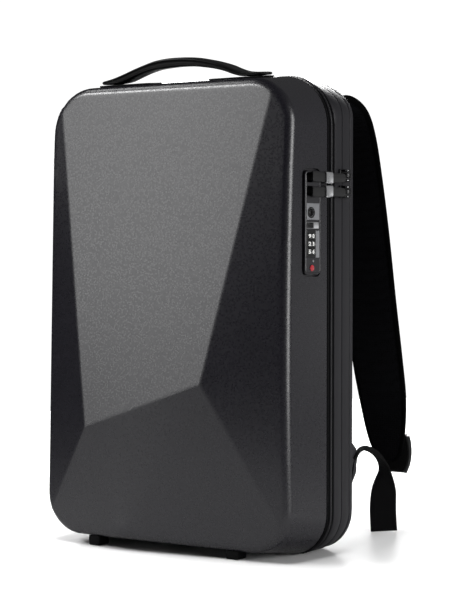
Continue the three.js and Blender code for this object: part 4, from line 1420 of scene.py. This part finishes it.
# %% [markdown]
# ## Stage
# A black bag on white is lit by what it mirrors. The lens sees a white floor and a white surround, but
# the bag sees a dark studio, with one pale card on the floor and a pale wall behind. One tall softbox
# stands where the upper facet mirrors it to the camera, so that facet is light and its neighbours stay
# dark. A softbox behind lights the back. Some lamps are flagged off some pieces, as in a real studio,
# which Blender does by light linking.

# %% Floor
SCENE = bpy.context.scene
SCENE.view_settings.view_transform = "Standard"
FLOOR_RADIUS, FLOOR_EDGES = 1.5, 96
FLOOR_MIDDLE = (0.35, 0.5, 0)
FLOOR_GREY, FLOOR_ROUGH = (0.86, 0.86, 0.86, 1), 0.4
WHITE = (1, 1, 1, 1)
# The floor glows to the lens from one distance to the next, in metres, so that its edge can't be seen
GLOW_FROM, GLOW_TO, GLOW = 0.3, 0.9, 1.0
# The pale card is an ellipse that fades out from a share of its reach
CARD_MIDDLE, CARD_TURN, CARD_REACH = (-0.05, -0.32, 0), math.radians(46.7), (1.35, 0.42, 1)
CARD_FADE = 0.45
DARK_CARD, PALE_CARD = 0.15, 0.5

clear_selection()
bpy.ops.mesh.primitive_circle_add(vertices=FLOOR_EDGES, radius=FLOOR_RADIUS, fill_type="NGON",
                                  location=FLOOR_MIDDLE)
floor = named("floor")
settle()
paint, floor_tree, floor_shader = blank("floor_paint", Base_Color=FLOOR_GREY, Roughness=FLOOR_ROUGH,
                                        Emission_Color=WHITE)
place = node(floor_tree, "ShaderNodeTexCoord").outputs["Object"]
distant = node(floor_tree, "ShaderNodeVectorMath", [(0, place)], operation="LENGTH")
glow = node(floor_tree, "ShaderNodeMapRange", [("Value", distant.outputs["Value"]), ("From Min", GLOW_FROM),
            ("From Max", GLOW_TO), ("To Min", 0), ("To Max", GLOW)], interpolation_type="SMOOTHSTEP")
wire(floor_tree, floor_shader, Emission_Strength=glow.outputs[0])
laid = node(floor_tree, "ShaderNodeMapping", [("Vector", place), ("Location", CARD_MIDDLE),
            ("Rotation", (0, 0, CARD_TURN)), ("Scale", CARD_REACH)], vector_type="TEXTURE")
outwards = node(floor_tree, "ShaderNodeVectorMath", [(0, laid.outputs[0])], operation="LENGTH")
bounce = node(floor_tree, "ShaderNodeMapRange", [("Value", outwards.outputs["Value"]),
              ("From Min", CARD_FADE), ("From Max", 1), ("To Min", PALE_CARD), ("To Max", DARK_CARD)],
              interpolation_type="SMOOTHSTEP")
card = node(floor_tree, "ShaderNodeBsdfDiffuse", [("Color", bounce.outputs[0])])
direct = node(floor_tree, "ShaderNodeLightPath").outputs["Is Camera Ray"]
either = node(floor_tree, "ShaderNodeMixShader", [(0, direct), (1, card.outputs[0]),
              (2, floor_shader.outputs[0])])
floor_tree.links.new(either.outputs[0], floor_tree.nodes["Material Output"].inputs[0])
floor.data.materials.append(paint)
print("floor:", 2 * FLOOR_RADIUS, "m across")

# %% Surround
# White to the lens, but to the bag dark in front and pale behind
IN_FRONT, BEHIND, TO_THE_LENS = 0.005, 0.3, 1.1
PALE_SIDE, PALE_FROM = (0.8, 0.6, 0), -0.35
world = bpy.data.worlds.new("surround")
SCENE.world = world
world.use_nodes = True
world_tree = world.node_tree
way = node(world_tree, "ShaderNodeTexCoord").outputs["Generated"]
facing = node(world_tree, "ShaderNodeVectorMath", [(0, way), (1, PALE_SIDE)], operation="DOT_PRODUCT")
pale = node(world_tree, "ShaderNodeMapRange", [("Value", facing.outputs["Value"]), ("From Min", PALE_FROM),
            ("From Max", 1), ("To Min", IN_FRONT), ("To Max", BEHIND)], interpolation_type="SMOOTHSTEP")
seen = node(world_tree, "ShaderNodeLightPath").outputs["Is Camera Ray"]
dim = world_tree.nodes["Background"]
dim.inputs["Color"].default_value = WHITE
wire(world_tree, dim, Strength=pale.outputs[0])
bright = node(world_tree, "ShaderNodeBackground", [("Color", WHITE), ("Strength", TO_THE_LENS)])
both = node(world_tree, "ShaderNodeMixShader", [(0, seen), (1, dim.outputs[0]), (2, bright.outputs[0])])
world_tree.links.new(both.outputs[0], world_tree.nodes["World Output"].inputs[0])
print("surround made")

# %% Lamps and their flags
# The pieces that a lamp is kept off, or the only ones that it reaches
LINKS = {"softbox_left": ([floor, grip], "EXCLUDE"), "overhead": ([floor], "INCLUDE"),
         "top_left": ([grip, *PADS], "EXCLUDE"), "side_box": ([grip, *PADS, *PLATED], "EXCLUDE"),
         "back_card": (PADS, "EXCLUDE"), "back_box": ([floor, grip, shell], "EXCLUDE")}
# name, azimuth and elevation in degrees, distance, width and height in metres, power in watts
LAMPS = [("softbox_left", -37.5, 19.5, 2.6, 0.96, 1.6, 27), ("side_box", 84, 6, 2.4, 0.9, 1.8, 50),
         ("top_left", -48, 39, 2.4, 0.9, 0.3, 30), ("top_high", -78, 55, 2.4, 0.9, 0.25, 7),
         ("back_strip", -145, 10, 2.4, 2, 0.5, 14), ("low_card", -34, -3, 2.4, 0.6, 0.24, 2.4),
         ("back_card", 146, -3, 1.6, 0.9, 0.3, 0.8),
         ("back_box", 212, 38, 2.6, 1.2, 1.2, 210), ("overhead", -30, 87, 2.6, 1.2, 1.2, 100)]
AIM = spot(0, 20, 250)
for name, azimuth, elevation, distance, width, height, power in LAMPS:
    lamp = bpy.data.objects.new(name, bpy.data.lights.new(name, "AREA"))
    SCENE.collection.objects.link(lamp)
    a, e = math.radians(azimuth), math.radians(elevation)
    away = Vector((math.sin(a) * math.cos(e), -math.cos(a) * math.cos(e), math.sin(e)))
    lamp.location = AIM + away * distance
    lamp.rotation_euler = away.to_track_quat("Z", "Y").to_euler()
    lamp.data.shape = "RECTANGLE"
    lamp.data.size, lamp.data.size_y = width, height
    lamp.data.energy = power
    lamp.visible_camera = False
    if name in LINKS:
        pieces, state = LINKS[name]
        flagged = bpy.data.collections.new(f"{name}_reach")
        for piece in pieces:
            flagged.objects.link(piece)
        for linked in flagged.collection_objects:
            linked.light_linking.link_state = state
        lamp.light_linking.receiver_collection = flagged
print(len(LAMPS), "lamps,", len(LINKS), "of them flagged")
